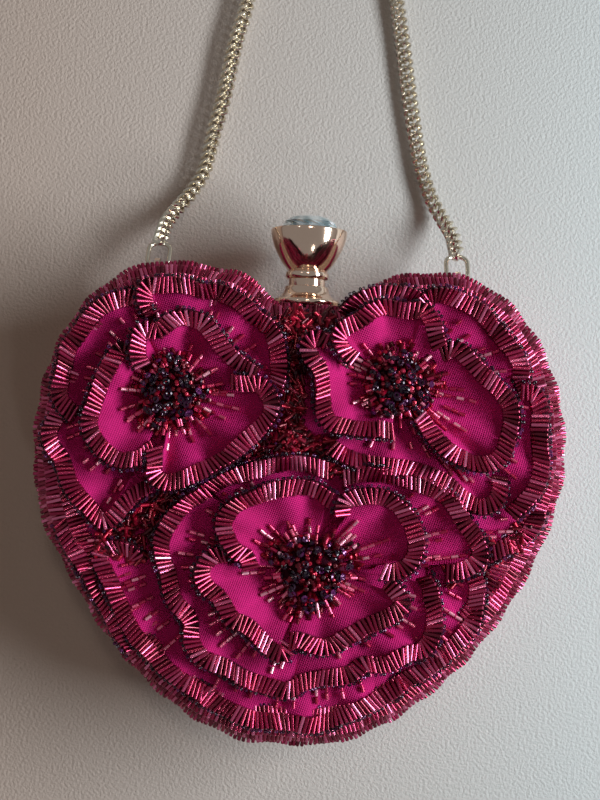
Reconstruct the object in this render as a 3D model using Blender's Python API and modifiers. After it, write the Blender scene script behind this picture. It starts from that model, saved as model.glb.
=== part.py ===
# Heart-shaped evening clutch, lying on its back: two hinged half boxes in gold frames,
# a press knob with a crystal on top, beaded petals on the front and a curb chain.
# Metres, +Z out of the front face, +Y towards the knob, X across the lobes.

import math

import bmesh
import bpy
from mathutils import Matrix, Vector
from mathutils.geometry import intersect_point_line

mm = 0.001
half_turn = math.pi
quarter_turn = math.pi / 2
full_turn = 2 * math.pi

# Small gap between neighbours, and how far a cutter runs past what it cuts.
seat_gap = 0.3 * mm
overrun = 2.0 * mm
merge_limit = 0.05 * mm
sharp_angle = math.radians(32.0)
round_sides = 16
small_round_sides = 12

# The frame's heart outline, seen from the front.
frame_half_width = 89.5 * mm
frame_widest_y = 10.4 * mm
frame_tip_y = -88.9 * mm
frame_lobe_top_y = 71.4 * mm
frame_lobe_x = 47.0 * mm
frame_notch_y = 61.4 * mm
notch_seat_half_width = 12.6 * mm
tip_seat_margin = 0.6 * mm
flank_power_share = 1.22
inner_lobe_steps = 3
lobe_steps = 7
flank_steps = 11

# How far the beaded edge stands proud of the frame; at the notch it stays behind it.
edge_side_proud = 4.1 * mm
edge_tip_proud = 4.35 * mm
edge_lobe_proud = 4.3 * mm
edge_notch_behind = 0.3 * mm

# The two half boxes, from the table up.
parting_z = 25.0 * mm
back_depth = 25.0 * mm
front_depth = 23.0 * mm
rim_height = 6.0 * mm
rim_wall = 2.0 * mm
cover_set_in = 0.5 * mm
cover_wall = 1.5 * mm
shell_wall = 1.4 * mm
lining_wall = 0.8 * mm
box_corner = 12.0 * mm
cover_corner_steps = 2
board_corner_steps = 1
board_in_rim = 1.2 * mm
notch_drop = 2.7 * mm
rim_profile_shares = ((1.0, 0.0), (0.25, 0.0), (0.0, 0.25), (0.34, 0.5), (0.0, 0.75),
                      (0.25, 1.0), (1.0, 1.0))

# Hinge at the heart's tip.
hinge_barrel_radius = 1.8 * mm
hinge_pin_radius = 0.75 * mm
hinge_bore_radius = 1.05 * mm
hinge_width = 18.0 * mm
hinge_knuckles = 5
hinge_side_gap = 0.2 * mm
hinge_stand_off = 0.45 * mm
leaf_wall = 0.9 * mm
leaf_height = 5.0 * mm
pin_head_radius = 1.3 * mm
pin_head_length = 0.7 * mm

# Press knob, its collar and what they work inside.
stem_radius = 2.0 * mm
stem_foot_radius = 1.5 * mm
stem_clearance = 0.35 * mm
press_travel = 2.5 * mm
collar_radius = 12.0 * mm
collar_lip = 1.3 * mm
collar_height = 6.8 * mm
collar_wall = 0.8 * mm
neck_radius = 6.6 * mm
neck_wall = 1.4 * mm
flare_steps = 4
neck_clearance = 0.3 * mm
neck_sunk = 1.0 * mm
neck_hollow = 3.3 * mm
neck_length = 3.9 * mm
cup_radius = 13.75 * mm
cup_height = 17.6 * mm
cup_lip = 0.6 * mm
cup_profile_shares = ((1.0, 0.98), (0.94, 0.78), (0.78, 0.47), (0.615, 0.22), (0.53, 0.07))
crystal_radius = 10.1 * mm
crystal_girdle = 1.5 * mm
crystal_dome = 4.25 * mm
crystal_rise = 0.2 * mm
crystal_seat_depth = 2.3 * mm
crystal_side_gap = 0.35 * mm
crystal_crown_shares = ((0.45, 1.0), (0.78, 0.66))
crystal_facets = 16
turned_steps = 20
spring_wire_radius = 0.35 * mm
spring_radius = 3.6 * mm
spring_turns = 4
spring_points_per_turn = 10

# Latch inside the notch.
bracket_half_width = 7.8 * mm
bracket_wall = 1.2 * mm
bracket_height = 4.4 * mm
guide_half_width = 4.4 * mm
guide_wall = 1.0 * mm
guide_block_depth = 4.0 * mm
hook_half_width = 7.0 * mm
hook_wall = 1.5 * mm
hook_below_axis = 5.4 * mm
hook_above_axis = 2.8 * mm
hook_behind_notch = 13.0 * mm
nose_width = 2.2 * mm
nose_length = 3.6 * mm
nose_height = 1.5 * mm
catch_leg_width = 1.7 * mm
catch_wall = 1.2 * mm
catch_foot_height = 1.4 * mm
catch_foot_reach = 1.5 * mm
catch_bar_height = 2.4 * mm
catch_bar_half_width = 8.4 * mm
catch_clear = 0.4 * mm
nut_radius = 3.3 * mm
nut_wall = 1.3 * mm
thread_end = 0.3 * mm
rivet_radius = 0.6 * mm
rivet_hole_radius = 0.95 * mm
rivet_head_radius = 1.15 * mm
rivet_head_height = 0.5 * mm
rivet_depth = 0.9 * mm
rivet_shank_sides = 8
nut_sides = 6
bracket_rivet_x = 6.2 * mm
catch_rivet_x = 3.2 * mm
window_half_width = 9.2 * mm
window_below_axis = 8.6 * mm
window_depth = 9.0 * mm

# Eyes and rings that carry the chain.
eye_x = 54.5 * mm
eye_wall = 1.8 * mm
eye_radius = 2.7 * mm
eye_hole_radius = 1.4 * mm
eye_height = 3.4 * mm
eye_steps = 8
ring_wire_radius = 0.75 * mm
ring_half_width = 3.9 * mm
ring_length = 10.5 * mm
ring_corner = 3.0 * mm
ring_slope = math.radians(33.0)
ring_corner_steps = 3

# Curb chain, as one free run from ring to ring. The route lies on the table.
chain_diameter = 6.5 * mm
chain_point_count = 44
route_sample_count = 24
chain_route = (
    (-54.5, 84.8, 15.4), (-53.2, 91.9, 10.4), (-49.6, 98.7, 5.6), (-44.8, 105.5, 3.7),
    (-40.6, 113.9, 3.3), (-37.8, 127.9, 3.3), (-34.2, 143.9, 3.3), (-31.4, 160.9, 3.3),
    (-27.0, 179.9, 3.3), (-25.6, 202.9, 3.3), (-28.2, 225.9, 3.3), (-31.8, 249.9, 3.3),
    (-33.0, 273.9, 3.3), (-29.2, 295.9, 3.3), (-19.0, 312.9, 3.3), (-3.0, 321.4, 3.3),
    (13.5, 318.4, 3.3), (26.5, 304.9, 3.3), (32.4, 284.9, 3.3), (33.2, 261.9, 3.3),
    (31.0, 237.9, 3.3), (28.0, 211.9, 3.3), (28.4, 187.9, 3.3), (32.6, 162.9, 3.3),
    (36.6, 139.9, 3.3), (41.0, 119.9, 3.3), (45.4, 107.1, 3.7), (49.9, 98.7, 5.6),
    (53.3, 91.9, 10.4), (54.5, 84.8, 15.4),
)

# Beaded rows round the front: two lips out past the frame, then two bands on the corner.
edge_rim_gap = 0.55 * mm
edge_row_gap = 1.4 * mm
edge_profile_shares = ((0.0, 0.0), (0.75, 0.0), (0.98, 0.2), (0.6, 0.4), (1.0, 0.58),
                       (0.92, 0.82), (0.5, 1.0), (0.0, 1.0))
row_wall = 1.6 * mm
row_groove = 1.0 * mm
row_gap = 0.35 * mm
row_band_angles = ((math.radians(19.0), math.radians(42.0)),
                   (math.radians(46.0), math.radians(67.0)))

# The beads' band along each petal's edge, and how far the petals bend down over the corner.
petal_band_width = 5.6 * mm
petal_band_step = 0.9 * mm
petal_droop = 2.0 * mm

# Petals along both flanks, and the bead-filled strip between the two upper flowers.
side_petal_outer_in = 7.5 * mm
side_petal_inner_in = 20.0 * mm
side_petal_lift = 2.6 * mm
side_petal_from_share = 0.26
side_petal_steps = 12
fill_place = (-1.9 * mm, 25.7 * mm)
fill_half_width = 3.3 * mm
fill_half_length = 22.0 * mm
fill_height = 3.0 * mm
fill_steps = 8
fill_taper_share = 0.85
fill_section_shares = ((-1.0, 0.0), (1.0, 0.0), (0.8, 0.65), (0.0, 1.0), (-0.8, 0.65))

# Flowers: the places of their centres, and radii as shares every 18 degrees round each one.
petal_wall = 1.0 * mm
petal_steps = 32
outer_petal_lift = 4.4 * mm
inner_petal_lift = 5.5 * mm
petal_sewn_share = 0.52
petal_wave_share = 0.22
petal_waves = 5
petal_middle_rise_share = 0.45
petal_lean_share = 0.4
boss_height = 5.4 * mm
boss_clear = 0.7 * mm
boss_steps = 20
boss_rise_shares = ((1.0, 0.0), (0.96, 0.45), (0.7, 0.86), (0.3, 1.0))
left_flower = {
    "place": (-43.4 * mm, 28.3 * mm),
    "outer": 40.0 * mm,
    "inner": 30.0 * mm,
    "boss": 11.5 * mm,
    "outer_shares": (0.94, 0.99, 1.02, 0.96, 0.93, 0.94, 0.96, 0.94, 0.92, 0.92, 0.97, 1.07,
                     1.19, 1.26, 1.15, 0.92, 0.82, 0.81, 0.87, 0.92),
    "inner_shares": (1.15, 1.02, 0.9, 0.9, 0.94, 0.93, 0.86, 0.82, 0.84, 0.86, 0.95, 1.05,
                     1.08, 1.06, 1.02, 1.08, 1.0, 0.98, 1.06, 1.14),
}
right_flower = {
    "place": (32.5 * mm, 34.5 * mm),
    "outer": 40.0 * mm,
    "inner": 30.0 * mm,
    "boss": 11.5 * mm,
    "outer_shares": (1.2, 1.1, 1.0, 0.95, 0.87, 0.79, 0.76, 0.76, 0.79, 0.82, 0.78, 0.79,
                     0.79, 0.75, 0.74, 0.74, 0.9, 1.3, 1.48, 1.35),
    "inner_shares": (1.25, 0.98, 0.85, 0.81, 0.93, 0.91, 0.88, 0.88, 0.93, 1.0, 0.93, 0.94,
                     0.92, 0.75, 0.62, 0.64, 0.85, 1.2, 1.42, 1.4),
}
bottom_flower = {
    "place": (5.7 * mm, -29.3 * mm),
    "outer": 46.0 * mm,
    "inner": 34.0 * mm,
    "boss": 12.8 * mm,
    "outer_shares": (1.28, 1.22, 1.0, 0.89, 0.78, 0.84, 0.88, 0.91, 0.95, 1.13, 1.15, 1.07,
                     1.07, 1.0, 0.95, 0.9, 0.85, 0.92, 1.06, 1.04),
    "inner_shares": (1.05, 1.17, 1.17, 1.06, 0.87, 0.91, 0.95, 1.01, 1.06, 1.02, 1.15, 1.07,
                     0.98, 0.91, 0.93, 0.8, 0.83, 0.82, 0.93, 1.02),
}

# Places that follow from the sizes above.
tip_seat_half_width = hinge_width / 2 + tip_seat_margin
back_rim_top = parting_z - seat_gap / 2
back_rim_bottom = back_rim_top - rim_height
front_rim_bottom = parting_z + seat_gap / 2
front_rim_top = front_rim_bottom + rim_height
front_face_z = parting_z + front_depth
shell_set_in = rim_wall + seat_gap
lining_set_in = shell_set_in + shell_wall + seat_gap
notch_inner_y = frame_notch_y - rim_wall
collar_base_y = frame_notch_y + seat_gap
collar_floor = collar_height - neck_sunk - press_travel - seat_gap
collar_top_y = collar_base_y + collar_height
neck_bottom_y = collar_top_y - neck_sunk
neck_roof_y = neck_bottom_y + neck_hollow
cup_bottom_y = neck_bottom_y + neck_length
cup_top_y = cup_bottom_y + cup_height
hook_plate_y = frame_notch_y - hook_behind_notch
stem_shoulder_y = hook_plate_y + hook_wall + seat_gap
guide_bottom_y = stem_shoulder_y
bracket_face_y = notch_inner_y - seat_gap
nut_top_y = hook_plate_y - seat_gap
stem_end_y = nut_top_y - nut_wall - thread_end
nose_bottom_z = parting_z - hook_below_axis
catch_foot_top_z = nose_bottom_z - seat_gap
catch_foot_bottom_z = catch_foot_top_z - catch_foot_height
catch_leg_x = guide_half_width + catch_clear * 2
catch_leg_y = hook_plate_y + hook_wall + nose_length + catch_clear
guide_top_z = parting_z + stem_radius + stem_clearance + guide_wall
catch_bar_z = guide_top_z + catch_clear
hinge_axis_y = frame_tip_y - hinge_stand_off - hinge_barrel_radius
eye_z = (back_rim_bottom + back_rim_top) / 2
row_low_z = (front_face_z - box_corner
             + (box_corner + row_gap) * math.sin(row_band_angles[0][0]))
edge_low_z = front_rim_top + edge_rim_gap
edge_high_z = row_low_z - edge_row_gap
petal_floor_z = front_face_z + seat_gap
inner_petal_floor_z = petal_floor_z + petal_wall + seat_gap
boss_floor_z = inner_petal_floor_z + petal_wall + seat_gap

frame_heart = {
    "half_width": frame_half_width,
    "widest": frame_widest_y,
    "lobe_top": frame_lobe_top_y,
    "notch": frame_notch_y,
    "tip": frame_tip_y,
}
edge_heart = {
    "half_width": frame_half_width + edge_side_proud,
    "widest": frame_widest_y,
    "lobe_top": frame_lobe_top_y + edge_lobe_proud,
    "notch": frame_notch_y - edge_notch_behind,
    "tip": frame_tip_y - edge_tip_proud,
}


def clear_scene():
    for item in list(bpy.data.objects):
        bpy.data.objects.remove(item, do_unlink=True)


def new_collection(name):
    group = bpy.data.collections.new(name)
    bpy.context.scene.collection.children.link(group)
    return group


def new_material(name, colour, metallic, roughness):
    material = bpy.data.materials.new(name)
    material.use_nodes = True
    shader = material.node_tree.nodes["Principled BSDF"]
    shader.inputs["Base Color"].default_value = (*colour, 1.0)
    shader.inputs["Metallic"].default_value = metallic
    shader.inputs["Roughness"].default_value = roughness
    material.diffuse_color = (*colour, 1.0)
    return material


clear_scene()
parts = new_collection("heart_clutch")
cutters = new_collection("cutters")

polished_gold = new_material("polished_gold", (0.83, 0.60, 0.42), 1.0, 0.18)
chain_gold = new_material("chain_gold", (0.80, 0.68, 0.47), 1.0, 0.28)
latch_steel = new_material("latch_steel", (0.62, 0.62, 0.64), 1.0, 0.35)
magenta_fabric = new_material("magenta_fabric", (0.45, 0.01, 0.12), 0.0, 0.85)
wine_beads = new_material("wine_beads", (0.28, 0.005, 0.05), 0.1, 0.25)
dark_beads = new_material("dark_beads", (0.06, 0.004, 0.02), 0.1, 0.2)
satin_lining = new_material("satin_lining", (0.30, 0.02, 0.09), 0.0, 0.5)
grey_board = new_material("grey_board", (0.35, 0.32, 0.30), 0.0, 0.8)
clear_crystal = new_material("clear_crystal", (0.78, 0.88, 0.95), 0.0, 0.03)


def add_mesh(name, shape, material, group=None):
    bmesh.ops.recalc_face_normals(shape, faces=shape.faces)
    mesh = bpy.data.meshes.new(name)
    shape.to_mesh(mesh)
    shape.free()
    piece = bpy.data.objects.new(name, mesh)
    (group or parts).objects.link(piece)
    if material:
        mesh.materials.append(material)
        mesh.shade_smooth()
        mesh.set_sharp_from_angle(angle=sharp_angle)
    return piece


def as_cutter(piece):
    for group in list(piece.users_collection):
        group.objects.unlink(piece)
    cutters.objects.link(piece)
    piece.hide_render = True
    piece.display_type = "WIRE"
    return piece


def combine(piece, other, operation):
    as_cutter(other)
    modifier = piece.modifiers.new(operation.lower(), "BOOLEAN")
    modifier.operation = operation
    modifier.solver = "EXACT"
    modifier.object = other
    return piece


def cut(piece, cutter):
    return combine(piece, cutter, "DIFFERENCE")


def join(piece, other):
    return combine(piece, other, "UNION")


def block(name, low, high, material=None):
    low, high = Vector(low), Vector(high)
    place = Matrix.Translation((low + high) / 2) @ Matrix.Diagonal((*(high - low), 1))
    shape = bmesh.new()
    bmesh.ops.create_cube(shape, size=1, matrix=place)
    return add_mesh(name, shape, material)


def rod(name, start, end, radius, sides, material=None):
    start, end = Vector(start), Vector(end)
    turn = (end - start).to_track_quat("Z", "Y").to_matrix().to_4x4()
    shape = bmesh.new()
    bmesh.ops.create_cone(shape, cap_ends=True, segments=sides, radius1=radius,
                          radius2=radius, depth=(end - start).length,
                          matrix=Matrix.Translation((start + end) / 2) @ turn)
    return add_mesh(name, shape, material)


def turned(name, profile, closed, steps, material):
    # The profile gives radius and world Y, down its outer side; it turns about the knob axis.
    mesh = bpy.data.meshes.new(name)
    count = len(profile)
    links = [(index, index + 1) for index in range(count - 1)]
    if closed:
        links.append((count - 1, 0))
    mesh.from_pydata([(radius, 0, height) for radius, height in profile], links, [])
    piece = bpy.data.objects.new(name, mesh)
    parts.objects.link(piece)
    piece.location = (0, 0, parting_z)
    piece.rotation_euler = (-quarter_turn, 0, 0)
    mesh.materials.append(material)
    screw = piece.modifiers.new("turn", "SCREW")
    screw.steps = steps
    screw.render_steps = steps
    screw.use_merge_vertices = True
    screw.merge_threshold = merge_limit
    screw.use_smooth_shade = material is not clear_crystal
    return piece


def plate(name, outline, thickness, place, turn, material=None):
    # A flat outline of local x and y, filled and given its thickness, then made a mesh.
    curve = bpy.data.curves.new(name, "CURVE")
    curve.dimensions = "2D"
    curve.fill_mode = "BOTH"
    curve.extrude = thickness / 2
    spline = curve.splines.new("POLY")
    spline.points.add(len(outline) - 1)
    for point, corner in zip(spline.points, outline):
        point.co = (corner[0], corner[1], 0, 1)
    spline.use_cyclic_u = True
    flat = bpy.data.objects.new(name, curve)
    parts.objects.link(flat)
    flat.matrix_world = Matrix.Translation(place) @ turn
    return solid_from_curve(flat, material)


def solid_from_curve(flat, material):
    bpy.context.view_layer.update()
    name = flat.name
    place = flat.matrix_world.copy()
    mesh = bpy.data.meshes.new_from_object(
        flat.evaluated_get(bpy.context.evaluated_depsgraph_get()))
    bpy.data.objects.remove(flat, do_unlink=True)
    shape = bmesh.new()
    shape.from_mesh(mesh)
    bmesh.ops.remove_doubles(shape, verts=shape.verts, dist=merge_limit)
    piece = add_mesh(name, shape, material)
    piece.matrix_world = place
    return piece


def facing_x():
    # Local x becomes world Y and local y becomes world Z, so the outline faces along X.
    return Matrix(((0, 0, 1, 0), (1, 0, 0, 0), (0, 1, 0, 0), (0, 0, 0, 1)))


def arc_points(centre, radius, start, end, steps):
    angles = [start + (end - start) * step / steps for step in range(steps + 1)]
    return [(centre[0] + radius * math.cos(angle), centre[1] + radius * math.sin(angle))
            for angle in angles]


def flank_point(half_width, widest, tip, share):
    # From the widest place, at share 0, down to the flat at the tip, at share 1.
    angle = quarter_turn * share
    across = max(math.cos(angle), 0.0) ** flank_power_share
    down = math.sin(angle) ** flank_power_share
    return (tip_seat_half_width + (half_width - tip_seat_half_width) * across,
            widest - (widest - tip) * down)


def heart_points(heart, set_in=0.0, drop=0.0):
    # One closed outline from the notch round by the right lobe, the tip and the left lobe.
    half_width = heart["half_width"] - set_in
    widest = heart["widest"]
    lobe_top = heart["lobe_top"] - set_in
    notch = heart["notch"] - set_in - drop
    tip = heart["tip"] + set_in
    right = [(0, notch)]
    for step in range(inner_lobe_steps):
        share = step / inner_lobe_steps
        right.append((notch_seat_half_width + (frame_lobe_x - notch_seat_half_width) * share,
                      notch + (lobe_top - notch) * math.sin(quarter_turn * share)))
    for step in range(lobe_steps):
        angle = quarter_turn * step / lobe_steps
        right.append((frame_lobe_x + (half_width - frame_lobe_x) * math.sin(angle),
                      widest + (lobe_top - widest) * math.cos(angle)))
    for step in range(flank_steps + 1):
        right.append(flank_point(half_width, widest, tip, step / flank_steps))
    left = [(-x, y) for x, y in reversed(right[1:])]
    return right + [(0, tip)] + left


def follow_rings(name, rings, material, closed):
    # A loop of edges extruded from ring to ring; it joins its start, or both ends are capped.
    shape = bmesh.new()
    corners = [shape.verts.new(point) for point in rings[0]]
    edges = [shape.edges.new(pair) for pair in zip(corners, corners[1:] + corners[:1])]
    if not closed:
        bmesh.ops.contextual_create(shape, geom=edges)
    for ring in rings[1:] + (rings[:1] if closed else []):
        made = bmesh.ops.extrude_edge_only(shape, edges=edges)["geom"]
        fresh = {item for item in made if isinstance(item, bmesh.types.BMVert)}
        corners = [next(edge.other_vert(corner) for edge in corner.link_edges
                        if edge.other_vert(corner) in fresh) for corner in corners]
        edges = [item for item in made if isinstance(item, bmesh.types.BMEdge)
                 and fresh.issuperset(item.verts)]
        for corner, point in zip(corners, ring):
            corner.co = point
    if closed:
        bmesh.ops.remove_doubles(shape, verts=shape.verts, dist=merge_limit)
    else:
        bmesh.ops.contextual_create(shape, geom=edges)
    return add_mesh(name, shape, material)


def heart_ring(set_in, height, drop):
    return [(x, y, height) for x, y in heart_points(frame_heart, set_in, drop)]


def pan_side(set_in, edge_z, floor_z, corner, steps):
    # One face of a pan's wall, from its floor round the corner to its edge.
    towards = 1 if edge_z > floor_z else -1
    side = []
    for step in range(steps + 1):
        angle = quarter_turn * step / steps
        side.append((set_in + corner * (1 - math.sin(angle)),
                     floor_z + towards * corner * (1 - math.cos(angle))))
    side.append((set_in, edge_z))
    return side


def pan(name, set_in, wall, edge_z, floor_z, corner, steps, material):
    # A heart-shaped pan: its outer face, its edge, then its inner face back to the floor.
    towards = 1 if edge_z > floor_z else -1
    outer = pan_side(set_in, edge_z, floor_z, corner, steps)
    inner = pan_side(set_in + wall, edge_z, floor_z + towards * wall, corner - wall,
                     board_corner_steps)
    rings = [heart_ring(step, height, notch_drop) for step, height in outer + inner[::-1]]
    return follow_rings(name, rings, material, closed=False)


def rim(name, low_z):
    rings = [heart_ring(rim_wall * depth, low_z + rim_height * height, 0)
             for depth, height in rim_profile_shares]
    frame = follow_rings(name, rings, polished_gold, closed=True)
    stem_way = rod(name + "_stem_way", (0, notch_inner_y - overrun, parting_z),
                   (0, frame_notch_y + overrun, parting_z),
                   stem_radius + stem_clearance + seat_gap, turned_steps)
    return cut(frame, stem_way)


def clasp_window(name, low_z, high_z):
    low_y = notch_inner_y - window_depth
    return block(name, (-window_half_width, low_y, low_z),
                 (window_half_width, notch_inner_y + seat_gap, high_z))


def half_box(side, rim_low, cover_edge, face_z, towards):
    # Frame, fabric cover, board shell and lining of one half, from the outside in.
    rim(side + "_frame", rim_low)
    board_face = face_z + towards * (cover_wall + seat_gap)
    board_edge = parting_z - towards * (seat_gap + board_in_rim)
    lining_face = board_face + towards * (shell_wall + seat_gap)
    pan(side + "_cover", cover_set_in, cover_wall, cover_edge, face_z, box_corner,
        cover_corner_steps, magenta_fabric)
    shell = pan(side + "_shell", shell_set_in, shell_wall, board_edge, board_face,
                box_corner - (shell_set_in - cover_set_in), board_corner_steps, grey_board)
    lining = pan(side + "_lining", lining_set_in, lining_wall, board_edge, lining_face,
                 box_corner - (lining_set_in - cover_set_in), board_corner_steps, satin_lining)
    if towards > 0:
        low, high = parting_z - window_below_axis, parting_z + overrun
    else:
        low, high = parting_z - overrun, front_rim_top + seat_gap
    for piece in (shell, lining):
        cut(piece, clasp_window(piece.name + "_window", low, high))


def rivet(name, x, z, plate_face_y, frame):
    # A headed pin that runs along Y through a plate into a blind hole in the frame.
    head_low = plate_face_y - seat_gap - rivet_head_height
    pin = rod(name, (x, head_low, z), (x, plate_face_y - seat_gap, z), rivet_head_radius,
              small_round_sides,
              polished_gold)
    shank = rod(name + "_shank", (x, plate_face_y - seat_gap * 2, z),
                (x, notch_inner_y + rivet_depth, z), rivet_radius, rivet_shank_sides)
    join(pin, shank)
    hole = rod(name + "_hole", (x, plate_face_y - overrun, z),
               (x, notch_inner_y + rivet_depth + seat_gap, z), rivet_hole_radius,
               small_round_sides)
    cut(frame, hole)
    return hole


def hinge_leaf(name, side, knuckle_rows):
    # One leaf: a plate on the rim's outer face, its knuckles, and room for the other's.
    towards = -1 if side == "back" else 1
    plate_low_y = frame_tip_y - seat_gap - leaf_wall
    far_z = parting_z + towards * (seat_gap + leaf_height)
    near_z = parting_z + towards * seat_gap
    leaf = block(name, (-hinge_width / 2, plate_low_y, min(near_z, far_z)),
                 (hinge_width / 2, frame_tip_y - seat_gap, max(near_z, far_z)), polished_gold)
    pitch = hinge_width / hinge_knuckles
    for row in range(hinge_knuckles):
        start = -hinge_width / 2 + pitch * row
        if row in knuckle_rows:
            knuckle = rod(name + f"_knuckle_{row}",
                          (start + hinge_side_gap, hinge_axis_y, parting_z),
                          (start + pitch - hinge_side_gap, hinge_axis_y, parting_z),
                          hinge_barrel_radius, round_sides)
            join(leaf, knuckle)
        else:
            before = overrun if row == 0 else 0
            after = overrun if row == hinge_knuckles - 1 else 0
            room = rod(name + f"_room_{row}", (start - before, hinge_axis_y, parting_z),
                       (start + pitch + after, hinge_axis_y, parting_z),
                       hinge_barrel_radius + seat_gap, round_sides)
            cut(leaf, room)
    bore = rod(name + "_bore", (-hinge_width / 2 - overrun, hinge_axis_y, parting_z),
               (hinge_width / 2 + overrun, hinge_axis_y, parting_z), hinge_bore_radius,
               small_round_sides)
    return cut(leaf, bore)


def make_hinge():
    hinge_leaf("back_hinge_leaf", "back", (0, 2, 4))
    hinge_leaf("front_hinge_leaf", "front", (1, 3))
    end = hinge_width / 2 + seat_gap
    pin = rod("hinge_pin", (-end - pin_head_length / 2, hinge_axis_y, parting_z),
              (end + pin_head_length / 2, hinge_axis_y, parting_z), hinge_pin_radius,
              small_round_sides,
              polished_gold)
    for side in (-1, 1):
        head = rod(f"hinge_pin_head_{side}", (side * end, hinge_axis_y, parting_z),
                   (side * (end + pin_head_length), hinge_axis_y, parting_z),
                   pin_head_radius, small_round_sides)
        join(pin, head)


def make_knob():
    cup = [(cup_radius * across, cup_bottom_y + cup_height * up)
           for across, up in cup_profile_shares]
    seat_radius = crystal_radius + crystal_side_gap
    seat_y = cup_top_y - crystal_seat_depth
    profile = [(0, seat_y), (seat_radius, seat_y), (seat_radius, cup_top_y),
               (cup_radius - cup_lip, cup_top_y), *cup,
               (neck_radius, cup_bottom_y - cup_lip), (neck_radius, neck_bottom_y),
               (neck_radius - neck_wall, neck_bottom_y), (neck_radius - neck_wall, neck_roof_y),
               (stem_radius, neck_roof_y), (stem_radius, stem_shoulder_y),
               (stem_foot_radius, stem_shoulder_y), (stem_foot_radius, stem_end_y),
               (0, stem_end_y)]
    turned("knob", profile, False, turned_steps, polished_gold)

    base_y = seat_y + seat_gap
    girdle_y = cup_top_y + crystal_rise
    crown = [(crystal_radius * across, girdle_y + (crystal_dome - crystal_rise) * up)
             for across, up in crystal_crown_shares]
    turned("knob_crystal", [(0, crown[0][1]), *crown, (crystal_radius, girdle_y),
                            (crystal_radius, girdle_y - crystal_girdle), (0, base_y)],
           False, crystal_facets, clear_crystal)


def make_collar():
    bore = neck_radius + neck_clearance
    top_radius = bore + collar_wall
    spread = collar_radius - top_radius
    flare_height = collar_height - collar_lip * 2
    flare = []
    for step in range(flare_steps):
        angle = quarter_turn * (step + 1) / flare_steps
        flare.append((collar_radius - spread * math.cos(angle),
                      collar_base_y + collar_lip + flare_height * (1 - math.sin(angle))))
    profile = [(bore, collar_top_y), (top_radius, collar_top_y),
               (top_radius, collar_base_y + collar_lip + flare_height), *flare,
               (collar_radius, collar_base_y), (stem_radius + stem_clearance, collar_base_y),
               (stem_radius + stem_clearance, collar_base_y + collar_floor),
               (bore, collar_base_y + collar_floor)]
    turned("clasp_collar", profile, True, turned_steps, polished_gold)


def make_spring():
    # One unbroken coil round the stem, from the collar's floor to the roof of the neck.
    low = collar_base_y + collar_floor + spring_wire_radius + seat_gap
    high = neck_roof_y - spring_wire_radius - seat_gap
    count = spring_turns * spring_points_per_turn
    curve = bpy.data.curves.new("knob_spring", "CURVE")
    curve.dimensions = "3D"
    curve.bevel_depth = spring_wire_radius
    curve.bevel_resolution = 1
    curve.use_fill_caps = True
    spline = curve.splines.new("POLY")
    spline.points.add(count)
    points = []
    for step in range(count + 1):
        angle = full_turn * step / spring_points_per_turn
        points.append(Vector((spring_radius * math.cos(angle),
                              low + (high - low) * step / count,
                              parting_z + spring_radius * math.sin(angle))))
    for point, place in zip(spline.points, points):
        point.co = (*place, 1)
    curve.materials.append(latch_steel)
    spring = bpy.data.objects.new("knob_spring", curve)
    parts.objects.link(spring)
    least = min((a - b).length for i, a in enumerate(points)
                for b in points[i + spring_points_per_turn // 2:])
    print(f"knob_spring: least gap between turns {(least - 2 * spring_wire_radius) / mm:.2f} mm")


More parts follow.
